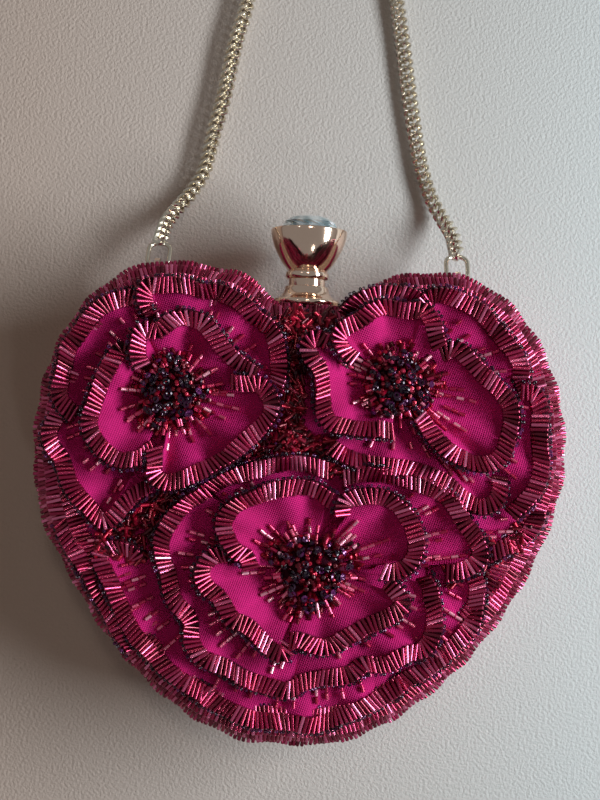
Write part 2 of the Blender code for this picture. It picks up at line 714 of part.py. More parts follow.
def make_latch():
    guide_radius = stem_radius + stem_clearance + guide_wall
    bracket_bottom = bracket_face_y - bracket_wall
    low_z = back_rim_bottom + seat_gap
    bracket = block("latch_bracket", (-bracket_half_width, bracket_bottom, low_z),
                    (bracket_half_width, bracket_face_y, low_z + bracket_height), latch_steel)
    join(bracket, block("guide_block", (-guide_half_width, bracket_face_y - guide_block_depth,
                                        low_z + seat_gap),
                        (guide_half_width, bracket_face_y - seat_gap / 2, guide_top_z)))
    join(bracket, rod("guide_tube", (0, guide_bottom_y, parting_z),
                      (0, bracket_face_y - bracket_wall, parting_z), guide_radius, round_sides))
    cut(bracket, rod("guide_bore", (0, guide_bottom_y - overrun, parting_z),
                     (0, bracket_face_y + overrun, parting_z),
                     stem_radius + stem_clearance, round_sides))
    back_frame = bpy.data.objects["back_frame"]
    for side, name in ((-1, "left"), (1, "right")):
        cut(bracket, rivet(f"bracket_rivet_{name}", side * bracket_rivet_x,
                           low_z + bracket_height / 2, bracket_bottom, back_frame))

    hook = block("latch_hook", (-hook_half_width, hook_plate_y, nose_bottom_z),
                 (hook_half_width, hook_plate_y + hook_wall, parting_z + hook_above_axis),
                 latch_steel)
    nose_root = hook_plate_y + hook_wall / 2
    nose_tip = hook_plate_y + hook_wall + nose_length
    ramp = ((nose_root, nose_bottom_z), (nose_tip - nose_height, nose_bottom_z),
            (nose_tip, nose_bottom_z + nose_height / 2), (nose_tip, nose_bottom_z + nose_height),
            (nose_root, nose_bottom_z + nose_height))
    for side in (-1, 1):
        middle = side * (hook_half_width - nose_width / 2)
        join(hook, plate(f"hook_nose_{side}", ramp, nose_width, (middle, 0, 0), facing_x()))
    cut(hook, rod("hook_bore", (0, hook_plate_y - overrun, parting_z),
                  (0, hook_plate_y + hook_wall + overrun, parting_z),
                  stem_foot_radius + seat_gap, small_round_sides))
    nut = rod("stem_nut", (0, nut_top_y - nut_wall, parting_z), (0, nut_top_y, parting_z),
              nut_radius, nut_sides, latch_steel)
    cut(nut, rod("nut_bore", (0, nut_top_y - nut_wall - overrun, parting_z),
                 (0, nut_top_y + overrun, parting_z), stem_foot_radius + seat_gap, small_round_sides))

    bar_low, bar_high = catch_bar_z, catch_bar_z + catch_bar_height
    bar_bottom = bracket_face_y - catch_wall
    catch = block("catch_plate", (-catch_bar_half_width, bar_bottom, bar_low),
                  (catch_bar_half_width, bracket_face_y, bar_high), latch_steel)
    leg = ((bracket_face_y - catch_wall / 2, bar_high - seat_gap), (catch_leg_y, bar_high - seat_gap),
           (catch_leg_y, catch_foot_top_z), (catch_leg_y - catch_foot_reach, catch_foot_top_z),
           (catch_leg_y - catch_foot_reach, catch_foot_bottom_z + catch_foot_height / 2),
           (catch_leg_y - catch_foot_reach / 2, catch_foot_bottom_z),
           (catch_leg_y + catch_wall, catch_foot_bottom_z),
           (catch_leg_y + catch_wall, bar_low + seat_gap),
           (bracket_face_y - catch_wall / 2, bar_low + seat_gap))
    for side in (-1, 1):
        middle = side * (catch_leg_x + catch_leg_width / 2)
        join(catch, plate(f"catch_leg_{side}", leg, catch_leg_width, (middle, 0, 0), facing_x()))
    front_frame = bpy.data.objects["front_frame"]
    for side, name in ((-1, "left"), (1, "right")):
        cut(catch, rivet(f"catch_rivet_{name}", side * catch_rivet_x,
                         (bar_low + bar_high) / 2, bar_bottom, front_frame))


def lobe_height(x):
    # The frame's outer face above the widest line, on the lobe outside its top.
    share = (abs(x) - frame_lobe_x) / (frame_half_width - frame_lobe_x)
    return frame_widest_y + (frame_lobe_top_y - frame_widest_y) * math.sqrt(1 - share * share)


def make_eyes():
    # A flat eye on each lobe of the back frame, its hole along X for the ring.
    base_y = lobe_height(eye_x - eye_wall / 2) + seat_gap
    hole_y = base_y + eye_height
    top = arc_points((hole_y, eye_z), eye_radius, -quarter_turn, quarter_turn, eye_steps)
    outline = [(base_y, eye_z - eye_radius), *top, (base_y, eye_z + eye_radius)]
    for side, name in ((-1, "left"), (1, "right")):
        eye = plate(f"{name}_chain_eye", outline, eye_wall, (side * eye_x, 0, 0), facing_x(),
                    polished_gold)
        cut(eye, rod(f"{name}_eye_hole", (side * eye_x - overrun, hole_y, eye_z),
                     (side * eye_x + overrun, hole_y, eye_z), eye_hole_radius, round_sides))
    return hole_y


def make_rings(hole_y):
    # An oval ring through each eye, leaning down to the chain on the table.
    corners = [((ring_half_width - ring_corner), (ring_length - ring_corner), 0),
               (-(ring_half_width - ring_corner), (ring_length - ring_corner), quarter_turn),
               (-(ring_half_width - ring_corner), ring_corner, half_turn),
               ((ring_half_width - ring_corner), ring_corner, half_turn + quarter_turn)]
    loop = []
    for across, along, start in corners:
        loop += arc_points((across, along), ring_corner, start, start + quarter_turn,
                           ring_corner_steps)
    for side, name in ((-1, "left"), (1, "right")):
        curve = bpy.data.curves.new(f"{name}_chain_ring", "CURVE")
        curve.dimensions = "3D"
        curve.bevel_depth = ring_wire_radius
        curve.bevel_resolution = 1
        spline = curve.splines.new("POLY")
        spline.points.add(len(loop) - 1)
        for point, (across, along) in zip(spline.points, loop):
            point.co = (across, along, 0, 1)
        spline.use_cyclic_u = True
        curve.materials.append(chain_gold)
        ring = bpy.data.objects.new(f"{name}_chain_ring", curve)
        parts.objects.link(ring)
        ring.location = (side * eye_x, hole_y, eye_z)
        ring.rotation_euler = (-ring_slope, 0, 0)


def smooth_route(route, count):
    # Points at even steps along a smooth curve through the route's own points.
    knots = [Vector(point) * mm for point in route]
    padded = [knots[0] * 2 - knots[1], *knots, knots[-1] * 2 - knots[-2]]
    fine = []
    for before, start, end, after in zip(padded, padded[1:], padded[2:], padded[3:]):
        for step in range(route_sample_count):
            t = step / route_sample_count
            fine.append(0.5 * (2 * start + (end - before) * t
                               + (2 * before - 5 * start + 4 * end - after) * t ** 2
                               + (3 * start - before - 3 * end + after) * t ** 3))
    fine.append(knots[-1])
    lengths = [0.0]
    for near, far in zip(fine, fine[1:]):
        lengths.append(lengths[-1] + (far - near).length)
    even = []
    index = 0
    for step in range(count):
        wanted = lengths[-1] * step / (count - 1)
        while index < len(fine) - 2 and lengths[index + 1] < wanted:
            index += 1
        share = (wanted - lengths[index]) / (lengths[index + 1] - lengths[index])
        even.append(fine[index].lerp(fine[index + 1], share))
    return even, lengths[-1]


def make_chain():
    points, length = smooth_route(chain_route, chain_point_count)
    print(f"chain_strap: length {length / mm:.0f} mm")
    curve = bpy.data.curves.new("chain_strap", "CURVE")
    curve.dimensions = "3D"
    curve.bevel_depth = chain_diameter / 2
    curve.bevel_resolution = 2
    curve.use_fill_caps = True
    spline = curve.splines.new("POLY")
    spline.points.add(len(points) - 1)
    for point, place in zip(spline.points, points):
        point.co = (*place, 1)
    curve.materials.append(chain_gold)
    chain = bpy.data.objects.new("chain_strap", curve)
    parts.objects.link(chain)


def make_bead_rows():
    wall = heart_points(frame_heart, cover_set_in - seat_gap, notch_drop)
    proud = heart_points(edge_heart)
    rings = []
    for out, up in edge_profile_shares:
        height = edge_low_z + (edge_high_z - edge_low_z) * up
        rings.append([(a[0] + (b[0] - a[0]) * out, a[1] + (b[1] - a[1]) * out, height)
                      for a, b in zip(wall, proud)])
    follow_rings("front_bead_edge", rings, wine_beads, closed=True)

    centre_in = cover_set_in + box_corner
    centre_z = front_face_z - box_corner
    inner = box_corner + row_gap
    low, high = row_band_angles
    groove = (low[1] + high[0]) / 2
    section = [(inner, high[1]), (inner, groove), (inner, low[0])]
    section += [(inner + row_wall, angle) for angle in (low[0], (low[0] + low[1]) / 2, low[1])]
    section.append((inner + row_wall - row_groove, groove))
    section += [(inner + row_wall, angle) for angle in (high[0], (high[0] + high[1]) / 2, high[1])]
    rings = [heart_ring(centre_in - radius * math.cos(angle), centre_z + radius * math.sin(angle),
                        notch_drop) for radius, angle in section]
    follow_rings("front_bead_row", rings, wine_beads, closed=True)


def make_side_petals():
    # A strip along each flank, its beaded outer edge lifted; the two meet over the tip.
    band_in = side_petal_outer_in + petal_band_width
    band_lift = side_petal_lift * (side_petal_inner_in - band_in) \
        / (side_petal_inner_in - side_petal_outer_in)
    band_top = petal_wall + petal_band_step
    corners = ((side_petal_inner_in, 0), (side_petal_outer_in, side_petal_lift),
               (side_petal_outer_in, side_petal_lift + band_top), (band_in, band_lift + band_top),
               (band_in + petal_band_step, band_lift + petal_wall),
               (side_petal_inner_in, petal_wall))
    for side, name in ((-1, "left"), (1, "right")):
        rings = []
        for step in range(side_petal_steps + 1):
            share = side_petal_from_share + (1 - side_petal_from_share) * step / side_petal_steps
            ring = []
            for set_in, up in corners:
                x, y = flank_point(frame_half_width - set_in, frame_widest_y,
                                   frame_tip_y + set_in, share)
                ring.append((side * x, y, petal_floor_z + up))
            rings.append(ring)
        rings.append([(side * seat_gap / 2, y, z) for x, y, z in rings[-1]])
        follow_rings(f"{name}_side_petals", rings, magenta_fabric, closed=False)


def make_fill():
    rings = []
    for step in range(fill_steps + 1):
        along = 2 * step / fill_steps - 1
        taper = math.sqrt(1 - fill_taper_share * along * along)
        rings.append([(fill_place[0] + fill_half_width * taper * across,
                       fill_place[1] + fill_half_length * along,
                       petal_floor_z + fill_height * taper * up)
                      for across, up in fill_section_shares])
    follow_rings("centre_bead_fill", rings, dark_beads, closed=False)


def share_at(shares, angle):
    # A smooth closed curve through evenly spaced shares.
    place = angle / full_turn * len(shares)
    index = int(math.floor(place))
    t = place - index
    a, b, c, d = (shares[(index + step) % len(shares)] for step in (-1, 0, 1, 2))
    return 0.5 * (2 * b + (c - a) * t + (2 * a - 5 * b + 4 * c - d) * t ** 2
                  + (3 * b - a - 3 * c + d) * t ** 3)


def rim_distance(x, y):
    # From a place to the frame's outline, seen from the front.
    place = Vector((x, y))
    outline = [Vector(point) for point in heart_points(frame_heart)]
    distances = []
    for start, end in zip(outline, outline[1:] + outline[:1]):
        share = intersect_point_line(place, start, end)[1]
        distances.append((place - start.lerp(end, min(max(share, 0), 1))).length)
    return min(distances)


def petal_ring(flower, layer, share, set_in, floor_z, rise):
    # One ring of a petal: a share of the outline, set in from it, waving in height round the
    # edge and bending down near the rim.
    ring = []
    for step in range(petal_steps):
        angle = full_turn * step / petal_steps
        radius = flower[layer] * share_at(flower[layer + "_shares"], angle) * share - set_in
        radius = max(radius, flower["boss"] + boss_clear)
        x = flower["place"][0] + radius * math.cos(angle)
        y = flower["place"][1] + radius * math.sin(angle)
        wave = 1 - petal_wave_share * (1 + math.cos(petal_waves * angle)) / 2
        bend = max(1 - rim_distance(x, y) / (cover_set_in + box_corner), 0)
        ring.append((x, y, floor_z + rise * wave - petal_droop * bend * bend))
    return ring


def petal(name, flower, layer, floor_z, lift):
    # Cloth from where it is sewn down out to the beads' band, then the thicker band itself.
    middle_rise = lift * petal_middle_rise_share
    cloth_z = floor_z + petal_wall
    bead_z = cloth_z + petal_band_step
    rings = [petal_ring(flower, layer, petal_sewn_share, 0, floor_z, 0),
             petal_ring(flower, layer, 1, petal_band_width, floor_z, middle_rise),
             petal_ring(flower, layer, 1, 0, floor_z, lift),
             petal_ring(flower, layer, 1, petal_wall * petal_lean_share, bead_z, lift),
             petal_ring(flower, layer, 1, petal_band_width, bead_z, middle_rise),
             petal_ring(flower, layer, 1, petal_band_width + petal_band_step, cloth_z, middle_rise),
             petal_ring(flower, layer, petal_sewn_share, 0, cloth_z, 0)]
    return follow_rings(name, rings, magenta_fabric, closed=False)


def boss(name, flower):
    rings = []
    for across, up in boss_rise_shares:
        radius = flower["boss"] * across
        rings.append([(flower["place"][0] + radius * math.cos(full_turn * step / boss_steps),
                       flower["place"][1] + radius * math.sin(full_turn * step / boss_steps),
                       boss_floor_z + boss_height * up) for step in range(boss_steps)])
    return follow_rings(name, rings, dark_beads, closed=False)


def make_flowers():
    for side, flower in (("left", left_flower), ("right", right_flower),
                         ("bottom", bottom_flower)):
        petal(f"{side}_outer_petals", flower, "outer", petal_floor_z, outer_petal_lift)
        petal(f"{side}_inner_petals", flower, "inner", inner_petal_floor_z, inner_petal_lift)
        boss(f"{side}_bead_centre", flower)


half_box("back", back_rim_bottom, back_rim_bottom - seat_gap, parting_z - back_depth, 1)
half_box("front", front_rim_bottom, front_rim_top + seat_gap, front_face_z, -1)
make_hinge()
make_collar()
make_knob()
make_spring()
make_latch()
make_rings(make_eyes())
make_chain()
make_bead_rows()
make_side_petals()
make_fill()
make_flowers()
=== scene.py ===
import random
from math import cos, exp, hypot, pi, radians, sin, sqrt

import bpy
from mathutils import Matrix, Vector
from mathutils.noise import noise


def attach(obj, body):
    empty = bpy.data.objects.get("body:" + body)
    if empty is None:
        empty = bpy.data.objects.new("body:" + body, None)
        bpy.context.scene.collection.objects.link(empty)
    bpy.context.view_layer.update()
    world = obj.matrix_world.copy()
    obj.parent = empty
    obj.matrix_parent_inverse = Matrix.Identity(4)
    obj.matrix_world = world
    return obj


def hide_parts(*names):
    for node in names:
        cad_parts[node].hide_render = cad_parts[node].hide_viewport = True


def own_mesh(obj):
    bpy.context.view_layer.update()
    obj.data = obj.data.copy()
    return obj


# Beaded heart clutch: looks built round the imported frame, millimetres through mm.
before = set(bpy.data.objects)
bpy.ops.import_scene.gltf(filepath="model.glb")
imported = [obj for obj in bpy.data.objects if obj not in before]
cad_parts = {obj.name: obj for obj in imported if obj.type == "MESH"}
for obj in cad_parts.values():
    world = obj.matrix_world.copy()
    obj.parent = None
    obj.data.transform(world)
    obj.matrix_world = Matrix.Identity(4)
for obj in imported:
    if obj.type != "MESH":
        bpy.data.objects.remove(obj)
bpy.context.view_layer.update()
mm = 0.001
up = Vector((0, 0, 1))
quarter = pi / 2
dice = random.Random(11)

# The view: straight down on the front, leaning a little, one pixel of 0.36 mm at the parting.
view = dict(x=-0.6, y=27.95, height=400, partingZ=25, pixel=0.36, lean=2.6,
            middleU=300, middleV=400, tallPixels=800)


def fromPhoto(u, v, z):
    # the point in millimetres that the view shows at a pixel, at height z
    scale = view["pixel"] * (view["height"] - (z - view["partingZ"])) / view["height"]
    across, along = (u - view["middleU"]) * scale, (view["middleV"] - v) * scale
    lean = radians(view["lean"])
    return Vector((across * cos(lean) - along * sin(lean) + view["x"],
                   across * sin(lean) + along * cos(lean) + view["y"], z))


def added(name, data):
    piece = bpy.data.objects.new(name, data)
    bpy.context.collection.objects.link(piece)
    return piece


def makeCamera():
    data = bpy.data.cameras.new("photoCamera")
    data.sensor_fit = "VERTICAL"
    data.lens = data.sensor_height * view["height"] / (view["tallPixels"] * view["pixel"])
    camera = added("photoCamera", data)
    camera.location = (view["x"] * mm, view["y"] * mm, (view["partingZ"] + view["height"]) * mm)
    camera.rotation_euler = (0, 0, radians(view["lean"]))
    bpy.context.scene.camera = camera


# Wires between shader nodes: sums of wires add Math nodes.
class Wire:
    def __init__(self, paint, socket):
        self.paint, self.socket = paint, socket

    def sum(self, operation, *others):
        return self.paint.node("Math", {"operation": operation},
                               {index: value for index, value in enumerate((self, *others))})

    def flipped(self, operation, other):
        return self.paint.node("Math", {"operation": operation}, {0: other, 1: self})

    def __add__(self, other):
        return self.sum("ADD", other)

    def __sub__(self, other):
        return self.sum("SUBTRACT", other)

    def __mul__(self, other):
        return self.sum("MULTIPLY", other)

    def __truediv__(self, other):
        return self.sum("DIVIDE", other)

    def __pow__(self, other):
        return self.sum("POWER", other)

    def __rsub__(self, other):
        return self.flipped("SUBTRACT", other)

    def __rtruediv__(self, other):
        return self.flipped("DIVIDE", other)

    __radd__, __rmul__ = __add__, __mul__

    def sine(self):
        return self.sum("SINE")

    def between(self, low, high):
        return self.sum("MAXIMUM", low).sum("MINIMUM", high)


class Paint:
    def __init__(self, name, finish):
        self.material = bpy.data.materials.new(name)
        self.material.use_nodes = True
        self.tree = self.material.node_tree
        self.surface = self.tree.nodes["Principled BSDF"]
        self.finish(finish)

    def finish(self, values):
        for name, value in values.items():
            self.join(value, self.surface.inputs[name])

    def join(self, value, socket):
        if isinstance(value, Wire):
            self.tree.links.new(value.socket, socket)
        else:
            socket.default_value = (*value, 1) if isinstance(value, tuple) and len(value) == 3 \
                and socket.type == "RGBA" else value

    def node(self, kind, settings, sockets, output=0):
        made = self.tree.nodes.new("ShaderNode" + kind)
        for name, value in settings.items():
            if name == "stops":
                ramp = made.color_ramp.elements
                while len(ramp) < len(value):
                    ramp.new(1)
                for stop, (place, colour) in zip(ramp, value):
                    stop.position, stop.color = place, (*colour, 1)
            else:
                setattr(made, name, value)
        for name, value in sockets.items():
            self.join(value, made.inputs[name])
        return Wire(self, made.outputs[output])

    def axes(self):
        # the piece's own x, y and z, in metres
        split = self.node("SeparateXYZ", {}, {"Vector": self.place()}).socket.node
        return [Wire(self, output) for output in split.outputs]

    def place(self):
        return self.node("TexCoord", {}, {}, "Object")

    def noise(self, scale, detail=2):
        return self.node("TexNoise", {}, {"Vector": self.place(), "Scale": scale, "Detail": detail})

    def attribute(self, name):
        return self.node("Attribute", {"attribute_name": name}, {}, "Fac")

    def ramp(self, wire, *stops):
        return self.node("ValToRGB", {"stops": stops}, {"Fac": wire}, "Color")

    def blend(self, factor, low, high):
        return self.node("Mix", {"data_type": "RGBA"}, {0: factor, 6: low, 7: high}, 2)

    def bump(self, height, distance, strength=1.0):
        self.finish({"Normal": self.node("Bump", {}, {"Height": height, "Distance": distance,
                                                      "Strength": strength})})


weaving = dict(
    slant=0.5, patchSize=90, patches=0.7, weave=0.13, least=0.12, paintedShadeUnderBeads=0.12, depth=0.3,
    tint=(1, 0.08, 0.35))


def fabricPaint(name, low, high, thread, roughness, sheen):
    # a fine twill: slanted ribs crossed by short steps, a little uneven; painted shade under the
    # beads
    paint = Paint(name, {"Roughness": roughness, "Specular IOR Level": 0.2, "Sheen Weight": sheen,
                         "Sheen Roughness": 0.4, "Sheen Tint": weaving["tint"]})
    x, y = paint.axes()[:2]
    turn = 2 * pi / thread
    ribs = ((x + y * weaving["slant"]) * turn).sine()
    steps = ((y - x * weaving["slant"]) * turn).sine()
    weave = ribs * steps
    patches = paint.noise(weaving["patchSize"], detail=3) * weaving["patches"]
    tone = (patches + weave * weaving["weave"] + weaving["least"]).between(0, 1)
    # painted shade: the cloth under the bead bands is darkened, as the gaps between the beads are
    # in shade
    paintedBandShade = tuple(weaving["paintedShadeUnderBeads"] * part for part in low)
    paint.finish({"Base Color": paint.blend(paint.attribute("bound"),
                                            paint.blend(tone, low, high), paintedBandShade)})
    paint.bump(weave, thread * weaving["depth"], strength=0.5)
    return paint.material


def beadPaint(name, *stops, metallic, roughness, coat):
    # lined glass: a coloured gleam under a clear coat, as deep as each bead's own shade says
    paint = Paint(name, {"Roughness": roughness, "Metallic": metallic, "Coat Weight": coat,
                         "Coat Roughness": 0.2, "Coat IOR": 1.5})
    paint.finish({"Base Color": paint.ramp(paint.attribute("shade"), *stops)})
    return paint.material


def metalPaint(name, colour, dull, roughness, wear, smear=0.08):
    paint = Paint(name, {"Metallic": 1.0})
    cloud = paint.noise(scale=140, detail=4)
    paint.finish({"Base Color": paint.blend(cloud * wear, colour, dull),
                  "Roughness": roughness + cloud * smear})
    return paint.material


def stonePaint():
    paint = Paint("clearStone", {"Metallic": 0.75, "Roughness": 0.03, "Coat Weight": 1.0,
                                 "Coat Roughness": 0.0})
    paint.finish({"Base Color": paint.ramp(paint.noise(scale=260, detail=0),
                                           (0.35, (0.34, 0.47, 0.52)),
                                           (0.65, (0.86, 0.93, 0.97)))})
    return paint.material


def boardPaint():
    paint = Paint("greyBoard", {"Roughness": 0.8})
    speck = paint.noise(scale=600, detail=3)
    paint.finish({"Base Color": paint.blend(speck, (0.28, 0.25, 0.23), (0.42, 0.39, 0.36))})
    paint.bump(speck, distance=0.15 * mm)
    return paint.material


fabric = fabricPaint("magentaFabric", (0.28, 0.003, 0.060), (0.80, 0.017, 0.25),
                     thread=1.1 * mm, roughness=0.85, sheen=0.05)
# painted shade: the centres' dome fabric is made near black, as the shade among the packed beads
paintedShadeFelt = fabricPaint("paintedShadeFelt", (0.03, 0.001, 0.008), (0.09, 0.002, 0.025),
                       thread=0.9 * mm, roughness=0.9, sheen=0.03)
satin = fabricPaint("satinLining", (0.16, 0.006, 0.04), (0.30, 0.015, 0.085),
                    thread=0.35 * mm, roughness=0.38, sheen=0.1)
bugleGlass = beadPaint("bugleGlass", (0.0, (0.14, 0.001, 0.018)), (0.5, (0.37, 0.005, 0.062)),
                       (0.8, (0.52, 0.040, 0.140)), (1.0, (0.85, 0.200, 0.380)),
                       metallic=0.82, roughness=0.24, coat=0.5)
deepGlass = beadPaint("deepGlass", (0.0, (0.03, 0.001, 0.005)), (0.6, (0.24, 0.001, 0.018)),
                      (0.9, (0.52, 0.004, 0.040)), (1.0, (0.85, 0.12, 0.26)),
                      metallic=0.55, roughness=0.28, coat=0.2)
brightGlass = beadPaint("brightGlass", (0.0, (0.22, 0.002, 0.030)), (0.45, (0.55, 0.012, 0.090)),
                        (0.75, (0.85, 0.14, 0.28)), (1.0, (1.0, 0.46, 0.60)),
                        metallic=0.6, roughness=0.26, coat=0.3)
darkGlass = beadPaint("darkGlass", (0.0, (0.006, 0.001, 0.010)), (0.7, (0.035, 0.002, 0.024)),
                      (1.0, (0.15, 0.02, 0.14)), metallic=0.4, roughness=0.22, coat=0.4)
roseGold = metalPaint("roseGold", (0.92, 0.70, 0.56), (0.76, 0.53, 0.40), roughness=0.08, wear=0.5)
paleGold = metalPaint("paleGold", (0.88, 0.82, 0.71), (0.56, 0.47, 0.35), roughness=0.22, wear=0.9)
plainSteel = metalPaint("plainSteel", (0.62, 0.62, 0.64), (0.45, 0.45, 0.47),
                        roughness=0.3, wear=0.8)
print("materials made")


# Shapes: mostly a grid whose points are moved to rows of places.
def shares(steps, last=0):
    # even steps from 0, with 1 among them where last is 1
    return [step / steps for step in range(steps + last)]


def turns(steps, last=0):
    return [2 * pi * share for share in shares(steps, last)]


def polar(turn, radius=1.0):
    return Vector((radius * cos(turn), radius * sin(turn), 0))


def deselect():
    bpy.ops.object.select_all(action="DESELECT")


def pick(piece):
    deselect()
    piece.select_set(True)
    bpy.context.view_layer.objects.active = piece


def begun(kind, **settings):
    # one of Blender's own simple meshes
    deselect()
    getattr(bpy.ops.mesh, "primitive_" + kind + "_add")(**settings)
    return bpy.context.object


def meshOf(piece):
    # the mesh alone, to be copied
    shape = piece.data
    bpy.data.objects.remove(piece)
    return shape


def toolsOn(piece):
    pick(piece)
    bpy.ops.object.mode_set(mode="EDIT")
    bpy.ops.mesh.select_all(action="SELECT")


def toolsOff():
    bpy.ops.object.mode_set(mode="OBJECT")


def sewn(piece):
    toolsOn(piece)
    bpy.ops.mesh.remove_doubles(threshold=0.001 * mm)
    bpy.ops.mesh.normals_make_consistent(inside=False)
    toolsOff()
    return piece


def shapedGrid(name, rows, closed=False):
    # closed sews the last column to the first
    columns = [row + row[:1] for row in rows] if closed else rows
    piece = begun("grid", x_subdivisions=len(columns[0]) - 1, y_subdivisions=len(columns) - 1)
    piece.name = piece.data.name = name
    points = [point * mm for row in columns for point in row]
    for vertex, point in zip(piece.data.vertices, points):
        vertex.co = point
    return sewn(piece)


def use(piece, kind, **settings):
    # adds a modifier and applies it
    pick(piece)
    modifier = piece.modifiers.new(kind.lower(), kind)
    for name, value in settings.items():
        setattr(modifier, name, value)
    bpy.ops.object.modifier_apply(modifier=modifier.name)


def smooth(piece, degrees=40):
    piece.data.shade_smooth()
    piece.data.set_sharp_from_angle(angle=radians(degrees))
    return piece


def coat(piece, material):
    piece.data.materials.clear()
    piece.data.materials.append(material)


def dress(piece, material, slot, body, *nodes):
    coat(piece, material)
    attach(piece, body)
    if nodes:
        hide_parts(*nodes)
    return piece


def smoothLine(points, spacing, closed=False, fineSteps=16):
    # evenly spaced points on a smooth curve through the given ones
    count = len(points)
    if closed:
        knots = [points[-1], *points, points[0], points[1]]
    else:
        knots = [points[0] * 2 - points[1], *points, points[-1] * 2 - points[-2]]
    fine = []
    for before, start, end, after in zip(knots, knots[1:], knots[2:], knots[3:]):
        for t in shares(fineSteps):
            fine.append(0.5 * (2 * start + (end - before) * t
                               + (2 * before - 5 * start + 4 * end - after) * t ** 2
                               + (3 * start - before - 3 * end + after) * t ** 3))
    fine.append(points[0] if closed else points[-1])
    lengths = [0.0]
    for near, far in zip(fine, fine[1:]):
        lengths.append(lengths[-1] + (far - near).length)
    steps = max(round(lengths[-1] / spacing), 2)
    even, index = [], 0
    for step in range(steps + (0 if closed else 1)):
        wanted = lengths[-1] * step / steps
        while index < len(fine) - 2 and lengths[index + 1] < wanted:
            index += 1
        share = (wanted - lengths[index]) / max(lengths[index + 1] - lengths[index], 1e-9)
        even.append(fine[index].lerp(fine[index + 1], share))
    return even


def heading(line, index):
    # which way an open line runs at one of its points
    return line[min(index + 1, len(line) - 1)] - line[max(index - 1, 0)]


heart = dict(
    halfWidth=89.5, widestY=10.4, tipY=-88.9, lobeTopY=71.4, lobeX=47, notchY=61.4, notchSeat=12.6,
    tipSeat=9.6, power=1.22, notchDrop=2.7, seatSteps=3, innerSteps=18, lobeSteps=30, flankSteps=44)


def heartLine(grow=0.0, notchGrow=0.0, z=0.0):
    # the frame's outline moved out by grow, at the notch by notchGrow, from there to the right
    half, lobeTop = heart["halfWidth"] + grow, heart["lobeTopY"] + grow
    notch, tip = heart["notchY"] + notchGrow, heart["tipY"] - grow
    seat, tipSeat, power = heart["notchSeat"], heart["tipSeat"], heart["power"]
    lobeX, widestY = heart["lobeX"], heart["widestY"]
    right = [(seat * share, notch) for share in shares(heart["seatSteps"])]
    right += [(seat + (lobeX - seat) * share, notch + (lobeTop - notch) * sin(quarter * share))
              for share in shares(heart["innerSteps"])]
    right += [(lobeX + (half - lobeX) * sin(quarter * share),
               widestY + (lobeTop - widestY) * cos(quarter * share))
              for share in shares(heart["lobeSteps"])]
    right += [(tipSeat + (half - tipSeat) * max(cos(quarter * share), 0) ** power,
               widestY - (widestY - tip) * sin(quarter * share) ** power)
              for share in shares(heart["flankSteps"], 1)]
    right += [(tipSeat * (1 - share), tip) for share in shares(heart["seatSteps"])[1:]]
    left = [(-x, y) for x, y in reversed(right[1:])]
    return [Vector((x, y, z)) for x, y in right + [(0, tip)] + left]


# Chain: twisted curb links along the route that the frame's tube takes.
chain = dict(
    diameter=6.5, pitch=3.15, linkLength=6.2, linkWidth=7.0, wire=0.92, twist=44, roundSteps=12,
    wireSides=6, rollMiddle=44, rollSwing=12, rollLength=95,
    route=(
        (-54.5, 84.8, 15.4), (-53.2, 91.9, 10.4), (-49.6, 98.7, 5.6), (-44.8, 105.5, 3.7),
        (-40.6, 113.9, 3.3), (-37.8, 127.9, 3.3), (-34.2, 143.9, 3.3), (-31.4, 160.9, 3.3),
        (-27, 179.9, 3.3), (-25.6, 202.9, 3.3), (-28.2, 225.9, 3.3), (-31.8, 249.9, 3.3),
        (-33, 273.9, 3.3), (-29.2, 295.9, 3.3), (-19, 312.9, 3.3), (-3, 321.4, 3.3),
        (13.5, 318.4, 3.3), (26.5, 304.9, 3.3), (32.4, 284.9, 3.3), (33.2, 261.9, 3.3),
        (31, 237.9, 3.3), (28, 211.9, 3.3), (28.4, 187.9, 3.3), (32.6, 162.9, 3.3),
        (36.6, 139.9, 3.3), (41, 119.9, 3.3), (45.4, 107.1, 3.7), (49.9, 98.7, 5.6),
        (53.3, 91.9, 10.4), (54.5, 84.8, 15.4)))
rings = dict(x=54.5, y=74.36, z=21.85, slope=33, halfWidth=3.9, length=10.5, corner=3.0,
             wire=0.85, cornerSteps=6, wireSides=10)


def copied(name, shape, places):
    # one mesh of many copies of a bead or link, each with its own shade
    corners = [vertex.co.copy() for vertex in shape.vertices]
    faces = [tuple(face.vertices) for face in shape.polygons]
    points, polygons, shades = [], [], []
    for place, shade in places:
        start = len(points)
        points.extend(place @ corner for corner in corners)
        polygons.extend(tuple(start + index for index in face) for face in faces)
        shades.extend([shade] * len(corners))
    mesh = bpy.data.meshes.new(name)
    mesh.from_pydata(points, [], polygons)
    mesh.attributes.new("shade", "FLOAT", "POINT").data.foreach_set("value", shades)
    return smooth(added(name, mesh), degrees=42)


def linkShape():
    # an oval of round wire, its two ends turned opposite ways
    link = begun("torus", major_segments=chain["roundSteps"], minor_segments=chain["wireSides"])
    places = [(angle, side) for angle in turns(chain["roundSteps"])
              for side in turns(chain["wireSides"])]
    wire = chain["wire"]
    halfLong, halfWide = chain["linkLength"] / 2 - wire, chain["linkWidth"] / 2 - wire
    for vertex, (angle, side) in zip(link.data.vertices, places):
        middle = Vector((halfLong * cos(angle), halfWide * sin(angle), 0))
        outward = Vector((halfWide * cos(angle), halfLong * sin(angle), 0)).normalized()
        point = middle + wire * (outward * cos(side) + up * sin(side))
        turn = Matrix.Rotation(radians(chain["twist"]) * point.x / halfLong, 3, "X")
        vertex.co = turn @ point * mm
    return meshOf(link)


